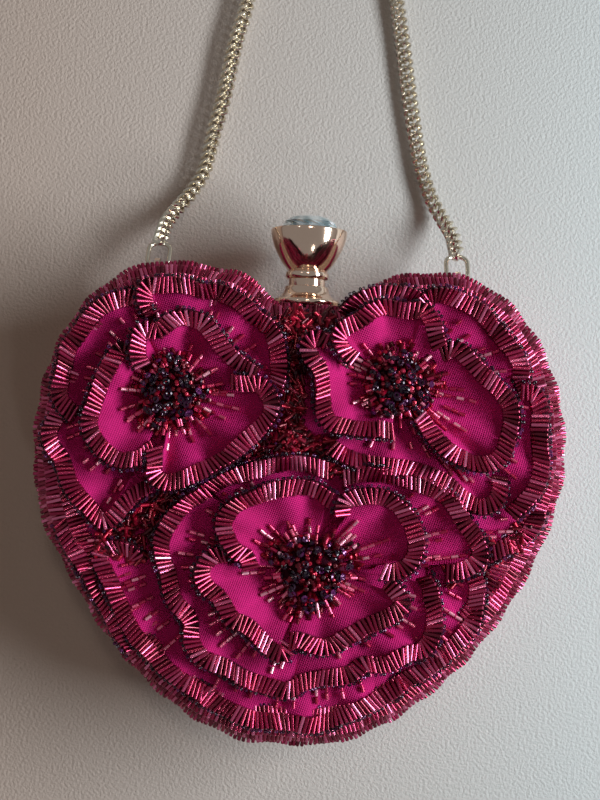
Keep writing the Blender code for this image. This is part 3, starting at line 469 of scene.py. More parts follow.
def makeChain():
    route = smoothLine([Vector(point) for point in chain["route"]], chain["pitch"])
    places = []
    for index, middle in enumerate(route):
        ahead = heading(route, index)
        across = up.cross(ahead).normalized()
        roll = radians(chain["rollMiddle"] + chain["rollSwing"]
                       * sin(2 * pi * index * chain["pitch"] / chain["rollLength"]))
        lift = ahead.cross(across).normalized()
        side = across * cos(roll) + lift * sin(roll)
        facing = Matrix((ahead.normalized(), side, ahead.cross(side).normalized())).transposed()
        places.append((Matrix.Translation(middle * mm) @ facing.to_4x4(), dice.random()))
    links = copied("chainLinks", linkShape(), places)
    dress(links, paleGold, "chain_gold", "strap", "chain_strap")
    ends = [makeRing(side, name) for side, name in ((-1, "left"), (1, "right"))]
    length = sum((b - a).length for a, b in zip(route, route[1:])) * mm
    [point * mm for point in route]


def makeRing(side, name):
    # a rounded oval of wire, hanging on its eye and leaning down to the chain
    corner = rings["corner"]
    wide, long = rings["halfWidth"] - corner, rings["length"] - corner
    middles = []
    for index, (x, y) in enumerate(((wide, long), (-wide, long), (-wide, corner), (wide, corner))):
        for share in shares(rings["cornerSteps"], 1):
            out = polar(quarter * (index + share))
            middles.append((Vector((x, y, 0)) + corner * out, out))
    lean = Matrix.Rotation(-radians(rings["slope"]), 3, "X")
    hook = Vector((side * rings["x"], rings["y"], rings["z"]))
    rows = [[hook + lean @ (middle + rings["wire"] * (out * cos(turn) + up * sin(turn)))
             for middle, out in middles] for turn in turns(rings["wireSides"], 1)]
    ring = smooth(shapedGrid(name + "Ring", rows, closed=True), degrees=80)
    return dress(ring, paleGold, "chain_gold", "strap", name + "_chain_ring")


makeCamera()
makeChain()
print("camera and chain made")


# Half boxes: fabric covers over the boards, satin inside, and the two ridged rails.
halves = dict(back=dict(cover=(18.55, 0), lining=(23.5, 3.5), railZ=18.85),
              front=dict(cover=(31.45, 48), lining=(26.5, 44.5), railZ=25.15))
box = dict(
    corner=12, cornerSteps=7, coverIn=0.5, coverWall=1.4, liningIn=4.0, liningWall=0.7,
    liningCorner=8.5, liningRows=14, middleY=8, middleRows=(1.0, 0.985, 0.85, 0.6, 0.3, 0.0),
    wallRows=(0.15, 0.5, 0.85, 1), gather=0.9, gatherWide=0.09, gatherTall=0.02,
    windowHalf=9.2, windowDepth=9.0, windowLow=16.4, windowHigh=33.6)
rail = dict(wall=2.0, height=6.0, steps=20, groove=0.34, stemHole=2.65, holeSides=32, holeLong=12)


def panRows(setIn, edgeZ, floorZ, corner, roundness, drop, pulls):
    # rows from the middle of the floor out, round or slantwise up the corner, and up the wall
    toEdge = 1 if edgeZ > floorZ else -1
    rim = heartLine(-setIn - corner, -setIn - corner - drop, floorZ)
    middle = Vector((0, box["middleY"], floorZ))
    rows = [[middle.lerp(point, share) for point in rim] for share in reversed(pulls)]
    for share in shares(box["cornerSteps"], 1)[1:]:
        angle = quarter * share
        out = setIn + corner * (1 - share - roundness * (sin(angle) - share))
        lift = corner * (share + roundness * (1 - cos(angle) - share))
        rows.append(heartLine(-out, -out - drop, floorZ + toEdge * lift))
    wall = rows[-1][0].z
    rows += [heartLine(-setIn, -setIn - drop, wall + (edgeZ - wall) * share)
             for share in box["wallRows"]]
    return rows


def cutAway(piece, cutter):
    use(piece, "BOOLEAN", operation="DIFFERENCE", solver="EXACT", object=cutter)
    bpy.data.objects.remove(cutter)


def makeCover(body, half):
    edgeZ, floorZ = half["cover"]
    rows = panRows(box["coverIn"], edgeZ, floorZ, box["corner"], 1, heart["notchDrop"],
                   box["middleRows"])
    cover = shapedGrid(body + "Cover", rows, closed=True)
    use(cover, "SOLIDIFY", thickness=box["coverWall"] * mm, offset=-1)
    dress(smooth(cover, degrees=50), fabric, "magenta_fabric", body, body + "_cover")


def makeLining(body, half):
    # satin up the boards' slanted corner, with a window for the clasp
    edgeZ, floorZ = half["lining"]
    rows = panRows(box["liningIn"], edgeZ, floorZ, box["liningCorner"], 0, heart["notchDrop"],
                   shares(box["liningRows"], 1)[::-1])
    middle = Vector((0, box["middleY"], (edgeZ + floorZ) / 2))
    wide, tall = box["gatherWide"], box["gatherTall"]
    for row in rows:  # soft gathers, always into the bag
        for point in row:
            pleat = 0.5 + 0.5 * noise(Vector((point.x * wide, point.y * wide, point.z * tall)))
            point += (middle - point).normalized() * box["gather"] * pleat
    lining = shapedGrid(body + "Lining", rows, closed=True)
    use(lining, "SOLIDIFY", thickness=box["liningWall"] * mm, offset=-1)
    wide, notch = box["windowHalf"], heart["notchY"]
    low = Vector((-wide, notch - rail["wall"] - box["windowDepth"], box["windowLow"]))
    high = Vector((wide, notch, box["windowHigh"]))
    window = begun("cube")
    for vertex in window.data.vertices:
        vertex.co = [(low if vertex.co[axis] < 0 else high)[axis] * mm for axis in range(3)]
    cutAway(lining, window)
    dress(smooth(lining, degrees=50), satin, "satin_lining", body, body + "_lining")


def makeRail(body, half):
    # two rounded ridges with a groove between them, outside a flat inner face
    wall, lowZ = -rail["wall"], half["railZ"]
    rows = [heartLine(wall, wall, lowZ)]
    for share in shares(rail["steps"], 1):
        depth = wall * rail["groove"] * cos(2 * pi * share) ** 2
        rows.append(heartLine(depth, depth, lowZ + rail["height"] * share))
    rows += [heartLine(wall, wall, lowZ + rail["height"]), heartLine(wall, wall, lowZ)]
    piece = shapedGrid(body + "Rail", rows, closed=True)
    hole = begun("cylinder", vertices=rail["holeSides"], radius=rail["stemHole"] * mm,
                 depth=rail["holeLong"] * mm)
    for vertex in hole.data.vertices:
        vertex.co = (vertex.co.x, heart["notchY"] * mm + vertex.co.z,
                     view["partingZ"] * mm + vertex.co.y)
    cutAway(piece, hole)
    dress(smooth(piece, degrees=50), roseGold, "polished_gold", body, body + "_frame")


for make in (makeCover, makeLining, makeRail):
    for body, half in halves.items():
        make(body, half)
print("half boxes made")


# Press knob, its collar and its stone, spun round the Y axis at the parting.
knob = dict(
    axisZ=25, steps=72, stoneSides=16, stoneGirdle=3,
    cup=(
        (10.45, 86.71), (10.45, 88.65), (10.9, 89.0), (13.2, 89.0), (13.62, 88.85), (13.75, 88.4),
        (13.6, 87.2), (13.1, 84.9), (12.2, 82.4), (11.1, 80.2), (9.9, 78.1), (8.7, 76.3),
        (7.6, 75.0), (6.8, 74.3), (6.7, 74.1), (7.3, 74.0), (7.65, 73.6), (7.75, 73.0),
        (7.75, 72.2), (7.6, 71.6), (7.2, 71.25), (6.6, 71.2), (6.6, 67.5), (5.2, 67.5),
        (5.2, 70.8), (2.0, 70.8), (2.0, 50.2), (1.5, 50.2), (1.5, 46.5), (0, 46.5), (0, 86.71)),
    collar=(
        (6.9, 68.5), (7.1, 68.65), (7.5, 68.65), (7.75, 68.4), (7.85, 67.6), (8.2, 66.6),
        (8.9, 65.6), (9.8, 64.8), (10.9, 64.2), (11.6, 63.9), (12.0, 63.5), (12.15, 63.0),
        (12.1, 62.2), (11.85, 61.7), (2.35, 61.7), (2.35, 64.7), (6.9, 64.7)),
    stone=((0, 87.0), (9.8, 87.0), (10.15, 87.7), (10.15, 90.0), (9.3, 91.7), (7.3, 93.2),
           (4.2, 94.2), (0, 94.4)))
spring = dict(low=65.35, high=70.15, radius=3.6, wire=0.35, turns=4, steps=24, sides=8,
              seatY=64.7, pressed=0.57)


def aboutKnob(radius, along, turn=0.0):
    return Vector((radius * cos(turn), along, knob["axisZ"] + radius * sin(turn)))


def spun(name, profile):
    # a loop of points, taken round the knob's axis and sewn
    piece = begun("circle", vertices=len(profile))
    piece.name = piece.data.name = name
    for vertex, (radius, along) in zip(piece.data.vertices, profile):
        vertex.co = aboutKnob(radius, along) * mm
    toolsOn(piece)
    bpy.ops.mesh.spin(steps=knob["steps"], angle=2 * pi,
                      center=(0, 0, knob["axisZ"] * mm), axis=(0, 1, 0))
    toolsOff()
    return smooth(sewn(piece))


def makeKnob():
    dress(spun("pressKnob", knob["cup"]), roseGold, "polished_gold", "knob", "knob")
    dress(spun("claspCollar", knob["collar"]), roseGold, "polished_gold", "back", "clasp_collar")
    rows = []
    for index, (radius, along) in enumerate(knob["stone"]):
        # the crown's facets are turned half a side from row to row
        turned = index / 2 if index > knob["stoneGirdle"] else 0
        rows.append([aboutKnob(radius, along, 2 * pi * (side + turned) / knob["stoneSides"])
                     for side in range(knob["stoneSides"])])
    stone = shapedGrid("clearStone", rows, closed=True)
    use(stone, "TRIANGULATE")
    dress(stone, stonePaint(), "clear_crystal", "knob", "knob_crystal")


def makeSpring():
    # one coil of round wire
    count = spring["turns"] * spring["steps"]
    along = Vector((0, 1, 0))
    rows = []
    for around in turns(spring["sides"], 1):
        row = []
        for step in range(-1, count + 2):
            share = min(max(step / count, 0), 1)
            turn = 2 * pi * spring["turns"] * share
            middle = aboutKnob(spring["radius"],
                               spring["low"] + (spring["high"] - spring["low"]) * share, turn)
            out = Vector((cos(turn), 0, sin(turn)))
            wire = spring["wire"] if 0 <= step <= count else 0  # both ends close to a point
            row.append(middle + wire * (out * cos(around) + along * sin(around)))
        rows.append(row)
    coil = smooth(shapedGrid("pressSpring", rows), degrees=60)
    dress(coil, plainSteel, "latch_steel", "back", "knob_spring")
    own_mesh(coil)


makeKnob()
makeSpring()
print("knob made")


# Flowers. Each petal is the middle line of its bead band, as pixels u, v, u, v of the photograph.
petals = dict(
    bandHalf=2.85, rise=0.9, wave=0.9, waveLength=19, tiltWave=1.0, tiltLength=24, slant=0.32,
    slantPace=0.7, slantShift=5, endDrop=1.6, endLength=7, spacing=1.5, rows=7,
    bandRows=(1.1, 1.5, 2.0), wall=0.45, droop=3.2, droopFrom=18, shift=0.37)
bugle = dict(radius=0.68, length=5.9, sides=10, ease=0.16, corner=60)
seed = dict(ring=0.42, wire=0.26, steps=8, sides=4, large=1.9)
band = dict(askew=0.05, onWall=0.4, lift=0.15, nudge=0.15, long=(0.96, 1.03),
            seedOut=(0.3, 0.7), seedDown=(-0.2, 0.5), seedAskew=0.6)
strings = dict(long=0.4, thick=0.9, rise=0.95, gaps=(2.75, 2.75, 2.75, 4.2), least=6,
               lateStart=0.15, earlyStop=0.25, next=0.05, askew=0.06, shades=(0.2, 1))
# each layer's strings: one at every so many band beads, and the shares where they start and stop
inner = dict(z=55.8, rootZ=49.6, rootShare=0.12, bowl=2.2, sag=0.2, strings=(6, 0.3, 0.8))
outer = dict(z=52.8, rootZ=48.9, rootShare=0.4, bowl=2.6, sag=0.0, strings=(4, 0.5, 0.96))
skirt = dict(z=50.4, rootZ=48.7, rootShare=0.72, bowl=2.0, sag=0.0, strings=(4, 0.5, 0.96))
leftFlower = dict(
    name="left", centre=(172, 393), boss=12,
    inner=(
        (142,365, 138.6,357, 138,346, 140,334, 147,329, 158,331, 167,325, 179,318, 192,319, 204,324,
         213,334, 223,347, 232,357, 244,366, 255,374),
        (232,382, 246,384, 257,384, 267,392, 272,403, 269,416, 257,431, 244,442, 228,456, 211,466,
         196,473, 179,480, 164,482, 154,474, 155,462, 155,449),
        (152,449, 142,456, 131,459.5, 118,459.5, 104,450, 94,436, 90,422, 93,407, 97.5,392, 103,380,
         109,369, 115,357, 121,349, 127,354)),
    outer=(
        (152,313, 145,300, 147,287, 158,285, 173,285, 188,286, 202,291, 217,291, 230,297, 244,305,
         253,315, 267,325, 274,336, 278,352, 279,370, 277,388),
        (145,313, 142,302, 135,297, 124,298, 114,301, 102,306, 91,315, 83,326, 77,336, 68,349,
         64,363, 61,376, 59,392, 64,403, 73,414),
        (56,416, 50,428, 49,438, 54,449, 61,458, 65,470, 70,482, 77,493, 87,505, 97,517, 106,521,
         116,515, 124,505, 136,494, 150,486)))
rightFlower = dict(
    name="right", centre=(400, 385), boss=12,
    inner=(
        (354,359, 345,351, 339,340, 341,331, 349,326, 361,320, 372,311, 384,307, 397,309, 410,311,
         423,311, 431,320, 435,332, 440,346),
        (326,341, 315,338, 308,346, 311,357, 319,367, 322,380, 322.5,395, 324,411, 331,423, 347,427,
         365,429, 378,429, 392,431),
        (443,353, 453,349, 462,353, 472,363, 481,372, 493,384, 502,394, 510,407, 512,422, 508,438,
         502,453, 493,462, 478,464, 462,458, 449,451, 437,439, 428,428, 420,417)),
    outer=(
        (422,307, 431,297, 443,295, 456,298, 468,304, 481,313, 493,327, 502,337, 512,351, 520,365,
         522,377),
        (523,392, 535,394, 541,409, 539,426, 540,445, 542,462, 539,478, 533,491, 523,504, 512,514),
        (500,478, 499,492, 492,503, 478,506, 462,497, 448,485, 432,475, 412,469, 390,466, 368,463,
         348,457, 332,448),
        (345,313, 357,302, 370,296, 384,293, 398,294, 412,296, 424,302)))
bottomFlower = dict(
    name="bottom", centre=(311, 572), boss=13.5,
    inner=(
        (250,568, 247,557, 236,551, 228,540, 224,526, 227,515, 238,504, 254,498, 269,492, 285,488,
         300,487, 316,490, 330,500),
        (342,515, 345,502, 361,497, 376,496, 390,500, 403,511, 412,526, 416,542, 414,557, 405,568,
         391,572, 384,571),
        (223,555, 213,557, 204,566, 202,578, 209,589, 219,597, 227,609, 233,619, 243,623, 250,628,
         257,636, 267,645, 276,652, 284,653, 287,645),
        (291,641, 300,640, 309,643, 321,647, 332,645, 345,637, 359,630, 372,624, 386,618, 397,610,
         402,602, 396,592, 388,584)),
    outer=(
        (206,491, 198,497, 187,503, 177,513, 169,524, 163,536, 161.6,548, 163.5,561, 168,574,
         171,588, 176,601, 185,612, 191,624, 191,636, 195,647, 204,658, 215,663, 227,668, 240,675,
         254,681, 269,686, 284,690, 297,686),
        (297,684, 314,679, 328,677, 342,675, 354,671, 363,665, 375,665, 388,663, 398,657, 409,653,
         420,651, 429,643, 433,631, 434,616, 432,601, 430,588, 424,578),
        (345,478, 362,474, 380,475, 400,478, 420,484, 437,491, 449,500, 457,510, 463,522, 472,534,
         479,546, 480,557, 472,565, 460,570, 448,573),
        (210,488, 222,481, 238,475, 256,470, 275,465, 293,463, 311,465, 327,470)))
skirts = dict(
    name="rim", centre=(305, 520), boss=0,
    outer=(
        (139,562, 133,552, 120,547, 106,549, 100,557, 104,568, 110,580, 116,597, 123,612, 133,631,
         142,644, 154,656, 168,669, 184,683, 201,694),
        (204,697, 226,709, 250,718, 274,722, 295,723, 315,725, 332,720, 347,713, 363,707, 376,701,
         388,694, 399,686),
        (399,684, 410,678, 421,672, 432,665, 443,657, 453,647, 461,637, 470,627, 475,614, 477,599,
         476,583, 471,570),
        (486,556, 500,549, 514,543, 526,535, 534,524, 538,513),
        (60,523, 66,538, 76,553, 84,566, 90,580),
        (86,560, 92,578, 100,596, 110,614, 120,632, 132,650)))


def beadShape(kind):
    # bugle: a ten-sided rod with eased ends; seed: a small fat ring
    if kind == "bugle":
        piece = begun("cylinder", vertices=bugle["sides"], radius=bugle["radius"] * mm,
                      depth=bugle["length"] * mm)
        use(piece, "BEVEL", width=bugle["ease"] * mm, segments=1, limit_method="ANGLE",
            angle_limit=radians(bugle["corner"]))
    else:
        piece = begun("torus", major_segments=seed["steps"], minor_segments=seed["sides"],
                      major_radius=seed["ring"] * mm, minor_radius=seed["wire"] * mm)
    return meshOf(piece)


shapes = {"bugle": beadShape("bugle"), "seed": beadShape("seed")}
beadSlots = {"bugle": "wine_beads", "seed": "dark_beads"}


def strew(name, kind, places, glass, *nodes):
    dress(copied(name, shapes[kind], places), glass, beadSlots[kind], "front", *nodes)


def bead(middle, direction, long=1.0, thick=1.0, shades=(0, 1)):
    # where one bead lies, and its shade
    turn = direction.normalized().to_track_quat("Z", "Y").to_matrix().to_4x4()
    place = Matrix.Translation(middle * mm) @ turn @ Matrix.Rotation(dice.uniform(0, 1), 4, "Z") \
        @ Matrix.Diagonal((thick, thick, long, 1))
    return place, dice.uniform(*shades)


def askew(direction, amount):
    return direction.normalized() + Vector([dice.uniform(-amount, amount) for axis in range(3)])


rimLine = heartLine()


def droop(point):
    # how far the petals bend down with the cover's rounded corner, near the rim
    flat = Vector((point.x, point.y, 0))
    nearest = min((corner - flat).length for corner in rimLine)
    return petals["droop"] * max(1 - nearest / petals["droopFrom"], 0) ** 2


class Petal:
    # one petal: a fan of cloth from near the flower's centre out under its bead band
    def __init__(self, flower, layer, pixels, waves):
        self.centre = fromPhoto(*flower["centre"], layer["z"])
        self.layer = layer
        self.line = smoothLine([fromPhoto(u, v, layer["z"])
                                for u, v in zip(pixels[::2], pixels[1::2])], petals["spacing"])
        count = len(self.line)
        self.tangents = [heading(self.line, index).normalized() for index in range(count)]
        sides = [Vector((tangent.y, -tangent.x, 0)) for tangent in self.tangents]
        away = sum(side.dot(point - self.centre) for side, point in zip(sides, self.line))
        self.outward = [side if away > 0 else -side for side in sides]
        self.rises, self.slants = [], []
        reach = count * petals["spacing"]
        for index, point in enumerate(self.line):
            along = index * petals["spacing"]
            end = min(along, reach - along) / petals["endLength"]
            drop = petals["endDrop"] * max(1 - end, 0) ** 2
            phase = 2 * pi * (along / petals["tiltLength"] + waves)
            self.rises.append(petals["rise"] + petals["tiltWave"] * sin(phase))
            self.slants.append(petals["slant"] * sin(phase * petals["slantPace"]
                                                     + waves * petals["slantShift"]))
            wave = petals["wave"] * sin(2 * pi * (along / petals["waveLength"] + waves))
            point.z = layer["z"] + wave - drop - droop(point)

    def at(self, index, share):
        # share 0 is the root, 1 the band's inner edge, 2 its outer edge
        edge, out, rise = self.line[index], self.outward[index], self.rises[index]
        near = edge - out * petals["bandHalf"] - up * rise
        if share > 1:
            return near + (out * petals["bandHalf"] + up * rise) * 2 * (share - 1)
        root = self.centre.lerp(edge, self.layer["rootShare"])
        root.z = self.layer["rootZ"]
        point = root.lerp(near, share)
        point.z = root.z + (near.z - root.z) * share ** self.layer["bowl"] \
            - self.layer["sag"] * sin(pi * share)
        return point

    def makeCloth(self, name):
        steps = [*shares(petals["rows"], 1), *petals["bandRows"]]
        rows = [[self.at(index, share) for index in range(len(self.line))] for share in steps]
        cloth = shapedGrid(name, rows)
        # bound marks the band rows, where the fabric gets its painted shade under the beads
        bound = [1.0 if share > 1 else 0.0 for share in steps for point in self.line]
        cloth.data.attributes.new("bound", "FLOAT", "POINT").data.foreach_set("value", bound)
        use(cloth, "SOLIDIFY", thickness=petals["wall"] * mm, offset=-1)
        return smooth(cloth, degrees=60)

    def bandBeads(self):
        # bugles side by side across the edge, and the seed beads along their outer ends
        places, seeds = [], []
        for index in range(len(self.line)):
            out, tangent = self.outward[index], self.tangents[index]
            across = (self.at(index, 2) - self.at(index, 1)).normalized()
            direction = askew(across + tangent * self.slants[index], band["askew"])
            lift = up * (bugle["radius"] + petals["wall"] * band["onWall"]
                         + dice.uniform(0, band["lift"]))
            middle = self.at(index, 1.5) + lift + out * dice.uniform(-band["nudge"], band["nudge"])
            places.append(bead(middle, direction, dice.uniform(*band["long"])))
            middle = self.at(index, 2) + out * dice.uniform(*band["seedOut"]) \
                + tangent * dice.uniform(0, 1) - up * dice.uniform(*band["seedDown"])
            seeds.append(bead(middle, askew(up, band["seedAskew"])))
        return places, seeds

    def beadStrings(self):
        # strings of short beads that run out over the cloth, a little above it
        every, first, last = self.layer["strings"]
        places = []
        count = len(self.line)
        for start in range(int(every / 2), count - 1, every):
            index = min(max(start + dice.randint(-1, 1), 0), count - 1)
            share = first + dice.uniform(0, strings["lateStart"])
            stop = last - dice.uniform(0, strings["earlyStop"])
            reach = max((self.at(index, 1) - self.at(index, 0)).length, strings["least"])
            while share < stop:
                here = self.at(index, share)
                ahead = self.at(index, share + strings["next"]) - here
                places.append(bead(here + up * strings["rise"], askew(ahead, strings["askew"]),
                                   strings["long"], strings["thick"], strings["shades"]))
                share += dice.choice(strings["gaps"]) / reach
        return places


def makePetals(flower, layerName, layer, node=None):
    bands, seeds, cloths, dashes = [], [], [], []
    title = flower["name"] + layerName.capitalize()
    for number, pixels in enumerate(flower[layerName]):
        petal = Petal(flower, layer, pixels, petals["shift"] * number)
        cloths.append(dress(petal.makeCloth(title + "Petal" + str(number + 1)), fabric,
                            "magenta_fabric", "front"))
        beads, picot = petal.bandBeads()
        bands += beads
        seeds += picot
        dashes += petal.beadStrings()
    if node:
        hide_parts(node)
    strew(title + "Bugles", "bugle", bands, bugleGlass)
    strew(title + "Picot", "seed", seeds, darkGlass)
    strew(title + "Dashes", "bugle", dashes, brightGlass)


centres = dict(
    pixelZ=54, baseZ=50.8, height=3.2, domeShare=0.84, domeRows=8, domeSides=32, seedsPerMm=6,
    rodsPerMm=16, rodThick=1.05, lines=22, lineFrom=0.85, lineStep=2.9, lineZ=54.4, lineDrop=0.9,
    lineLong=0.44, lineThick=0.95, lineFall=(0.05, 0.3), lineOff=0.4,
    lineAskew=0.08, lineShades=(0.1, 1), swell=(0.94, 0.14, 0.08), swellTurn=7, spread=2.2,
    askew=0.5, seedRise=(1.6, 4.2), seedAskew=0.3, rodLong=(0.3, 0.75), rodShades=(0, 0.96))


def makeCentre(flower):
    # packed seed beads and short rods standing out of a low dome, its fabric painted dark as the
    # shade among the beads
    middle = fromPhoto(*flower["centre"], centres["pixelZ"])
    middle.z = 0
    radius, height = flower["boss"], centres["height"]
    rows = []
    for share in shares(centres["domeRows"], 1):
        reach = radius * centres["domeShare"] * cos(quarter * share)
        z = centres["baseZ"] + height * sin(quarter * share)
        rows.append([middle + polar(turn, reach) + up * z for turn in turns(centres["domeSides"])])
    dome = smooth(shapedGrid(flower["name"] + "Dome", rows, closed=True), degrees=80)
    dress(dome, paintedShadeFelt, "magenta_fabric", "front", flower["name"] + "_bead_centre")
    seeds, rods, spokes = [], [], []

    def scatter():
        share = sqrt(dice.random())
        turn = dice.uniform(0, 2 * pi)
        out = polar(turn)
        even, three, five = centres["swell"]
        uneven = even + three * sin(3 * turn + radius * centres["swellTurn"]) \
            + five * sin(5 * turn)
        z = centres["baseZ"] + height * sqrt(max(1 - share ** 2, 0))
        lean = askew(up + out * share ** 2 * centres["spread"], centres["askew"])
        return middle + out * radius * share * uneven + up * z, lean

    for count in range(int(radius * centres["seedsPerMm"])):
        base, tilt = scatter()
        seeds.append(bead(base + up * dice.uniform(*centres["seedRise"]),
                          askew(tilt, centres["seedAskew"]), seed["large"], seed["large"]))
    for count in range(int(radius * centres["rodsPerMm"])):
        base, tilt = scatter()
        long = dice.uniform(*centres["rodLong"])
        stand = tilt.normalized() * bugle["length"] * long / 2
        rods.append(bead(base + stand, tilt, long, centres["rodThick"], centres["rodShades"]))
    for count in range(centres["lines"]):  # lines of short rods that leave the centre
        uneven = dice.uniform(-centres["lineOff"], centres["lineOff"])
        out = polar(2 * pi * (count + uneven) / centres["lines"])
        slope = up * dice.uniform(*centres["lineFall"])
        for step in range(dice.randint(1, 3)):
            base = middle + out * (radius * centres["lineFrom"] + step * centres["lineStep"]) \
                + up * (centres["lineZ"] - centres["lineDrop"] * step)
            spokes.append(bead(base, askew(out - slope, centres["lineAskew"]),
                               centres["lineLong"], centres["lineThick"], centres["lineShades"]))
    strew(flower["name"] + "CentreSeeds", "seed", seeds, darkGlass)
    strew(flower["name"] + "CentreRods", "bugle", rods, deepGlass)
    strew(flower["name"] + "Spokes", "bugle", spokes, brightGlass)


for flower in (leftFlower, rightFlower, bottomFlower):
    for name, layer in (("inner", inner), ("outer", outer)):
        makePetals(flower, name, layer, flower["name"] + "_" + name + "_petals")
    makeCentre(flower)
makePetals(skirts, "outer", skirt)
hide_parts("left_side_petals")
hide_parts("right_side_petals")
print("flowers made")


# Rim: rows of bugles round the rounded edge of the front, and two ruffled rows standing out of it.
rim = dict(
    centreIn=12.5, centreZ=36, radius=12.9, pitch=1.46, flare=26, notchBack=0.2, rows=(30, 54, 78),
    rowWave=0.3, waveLength=17, sway=0.6, tilt=12, slant=0.16, notchWidth=34, notchFromY=40,
    drift=0.8, drifts=5, askew=0.07, long=(0.96, 1.04), seedGap=0.3, seedRise=(-0.4, 0.3))
# the two ruffled rows: how far out on the flanks and in the notch, height, slope, seeds at each
ruffles = ((0.5, -2.8, 38.2, 24, 1), (0.7, -2.8, 34.6, 42, 2))
ruffleWave = 0.55
# where the rows stand out more: place, reach and how far, in millimetres
swells = ((-84, -15, 13, 1.8), (-22, 66, 11, 3.6), (27, 68, 10, 1.6))


def swollen(point, out):
    for x, y, reach, far in swells:
        near = hypot(point.x - x, point.y - y) / reach
        point = point + out * far * exp(-near * near)
    return point


def rimRow(places, seeds, line, slope, wave, seedEvery):
    # rods across the row, sloping down outward by slope degrees and ruffled by wave
    line = smoothLine(line, rim["pitch"], closed=True)
    count = len(line)
    waves = round(count * rim["pitch"] / rim["waveLength"])
    for index, point in enumerate(line):
        tangent = (line[(index + 1) % count] - line[index - 1]).normalized()
        out = Vector((-tangent.y, tangent.x, 0))
        lap = 2 * pi * index / count
        phase = waves * lap + rim["drift"] * sin(rim["drifts"] * lap)
        hold = min(abs(point.x) / rim["notchWidth"], 1) if point.y > rim["notchFromY"] else 1
        tilt = radians(slope + rim["tilt"] * wave * cos(phase))
        across = out * cos(tilt) - up * sin(tilt)
        middle = swollen(point, out) + out * wave * rim["sway"] * sin(phase) * hold \
            + up * wave * sin(phase)
        direction = askew(across + tangent * rim["slant"] * cos(phase / 2), rim["askew"])
        places.append(bead(middle, direction, dice.uniform(*rim["long"])))
        if index % seedEvery == 0:
            root = middle - across * (bugle["length"] / 2 + rim["seedGap"]) \
                + up * dice.uniform(*rim["seedRise"])
            seeds.append(bead(root, askew(up, 1)))


def makeRim():
    places, seeds = [], []
    for degrees in rim["rows"]:
        angle = radians(degrees)
        grow = rim["radius"] * cos(angle) - rim["centreIn"]
        line = heartLine(grow, grow - heart["notchDrop"] - rim["notchBack"],
                         rim["centreZ"] + rim["radius"] * sin(angle))
        rimRow(places, seeds, line, 90 - degrees - rim["flare"], rim["rowWave"], 1)
    strew("rimRows", "bugle", places, bugleGlass, "front_bead_row")
    strew("rimSeeds", "seed", seeds, darkGlass)
    places, seeds = [], []
    for out, notch, z, slope, seedEvery in ruffles:
        rimRow(places, seeds, heartLine(out, notch, z), slope, ruffleWave, seedEvery)
    strew("edgeRows", "bugle", places, bugleGlass, "front_bead_edge")
    strew("edgeSeeds", "seed", seeds, darkGlass)


# four corners of each patch as pixels, and how many beads it holds
gaps = dict(
    pixelZ=49, low=48.9, high=1.6, seedShare=0.2, seedAskew=0.9, long=(0.5, 1),
    rodShades=(0, 0.95), lie=((-1, 1), (-1, 1), (-0.1, 0.5)),
    patches=(((283, 330), (305, 330), (304, 440), (284, 440), 190),
             ((262, 318), (330, 318), (318, 345), (272, 345), 80),
             ((205, 462), (285, 430), (300, 462), (215, 492), 170),
             ((285, 430), (350, 445), (345, 474), (285, 465), 150),
             ((285, 308), (335, 312), (325, 330), (278, 330), 60),
             ((120, 505), (205, 480), (170, 520), (95, 545), 120),
             ((95, 540), (165, 525), (155, 560), (100, 560), 80),
             ((440, 555), (540, 520), (520, 550), (450, 590), 90)))


def makeGapBeads():
    # beads packed between the flowers
    seeds, rods = [], []
    for *corners, many in gaps["patches"]:
        a, b, c, d = [Vector(corner) for corner in corners]
        for count in range(many):
            s, t = dice.random(), dice.random()
            spot = fromPhoto(*a.lerp(b, s).lerp(d.lerp(c, s), t), gaps["pixelZ"])
            spot.z = gaps["low"] + dice.uniform(0, gaps["high"])
            flat = Vector([dice.uniform(*reach) for reach in gaps["lie"]])
            if dice.random() < gaps["seedShare"]:
                seeds.append(bead(spot, askew(up, gaps["seedAskew"])))
            else:
                rods.append(bead(spot, flat, dice.uniform(*gaps["long"]),
                                 shades=gaps["rodShades"]))
    strew("gapSeeds", "seed", seeds, darkGlass)
    strew("gapRods", "bugle", rods, deepGlass, "centre_bead_fill")


makeRim()
makeGapBeads()
print("rim and gaps made")


# Finishes of the pieces that keep the frame's own shape.
kept = {"latch_bracket": plainSteel, "latch_hook": plainSteel, "stem_nut": plainSteel,
        "catch_plate": plainSteel, "back_shell": boardPaint(), "front_shell": boardPaint()}
for node in ("back_hinge_leaf", "front_hinge_leaf", "hinge_pin", "bracket_rivet_left",
             "bracket_rivet_right", "catch_rivet_left", "catch_rivet_right", "left_chain_eye",
             "right_chain_eye"):
    kept[node] = roseGold
for node, material in kept.items():
    coat(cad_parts[node], material)
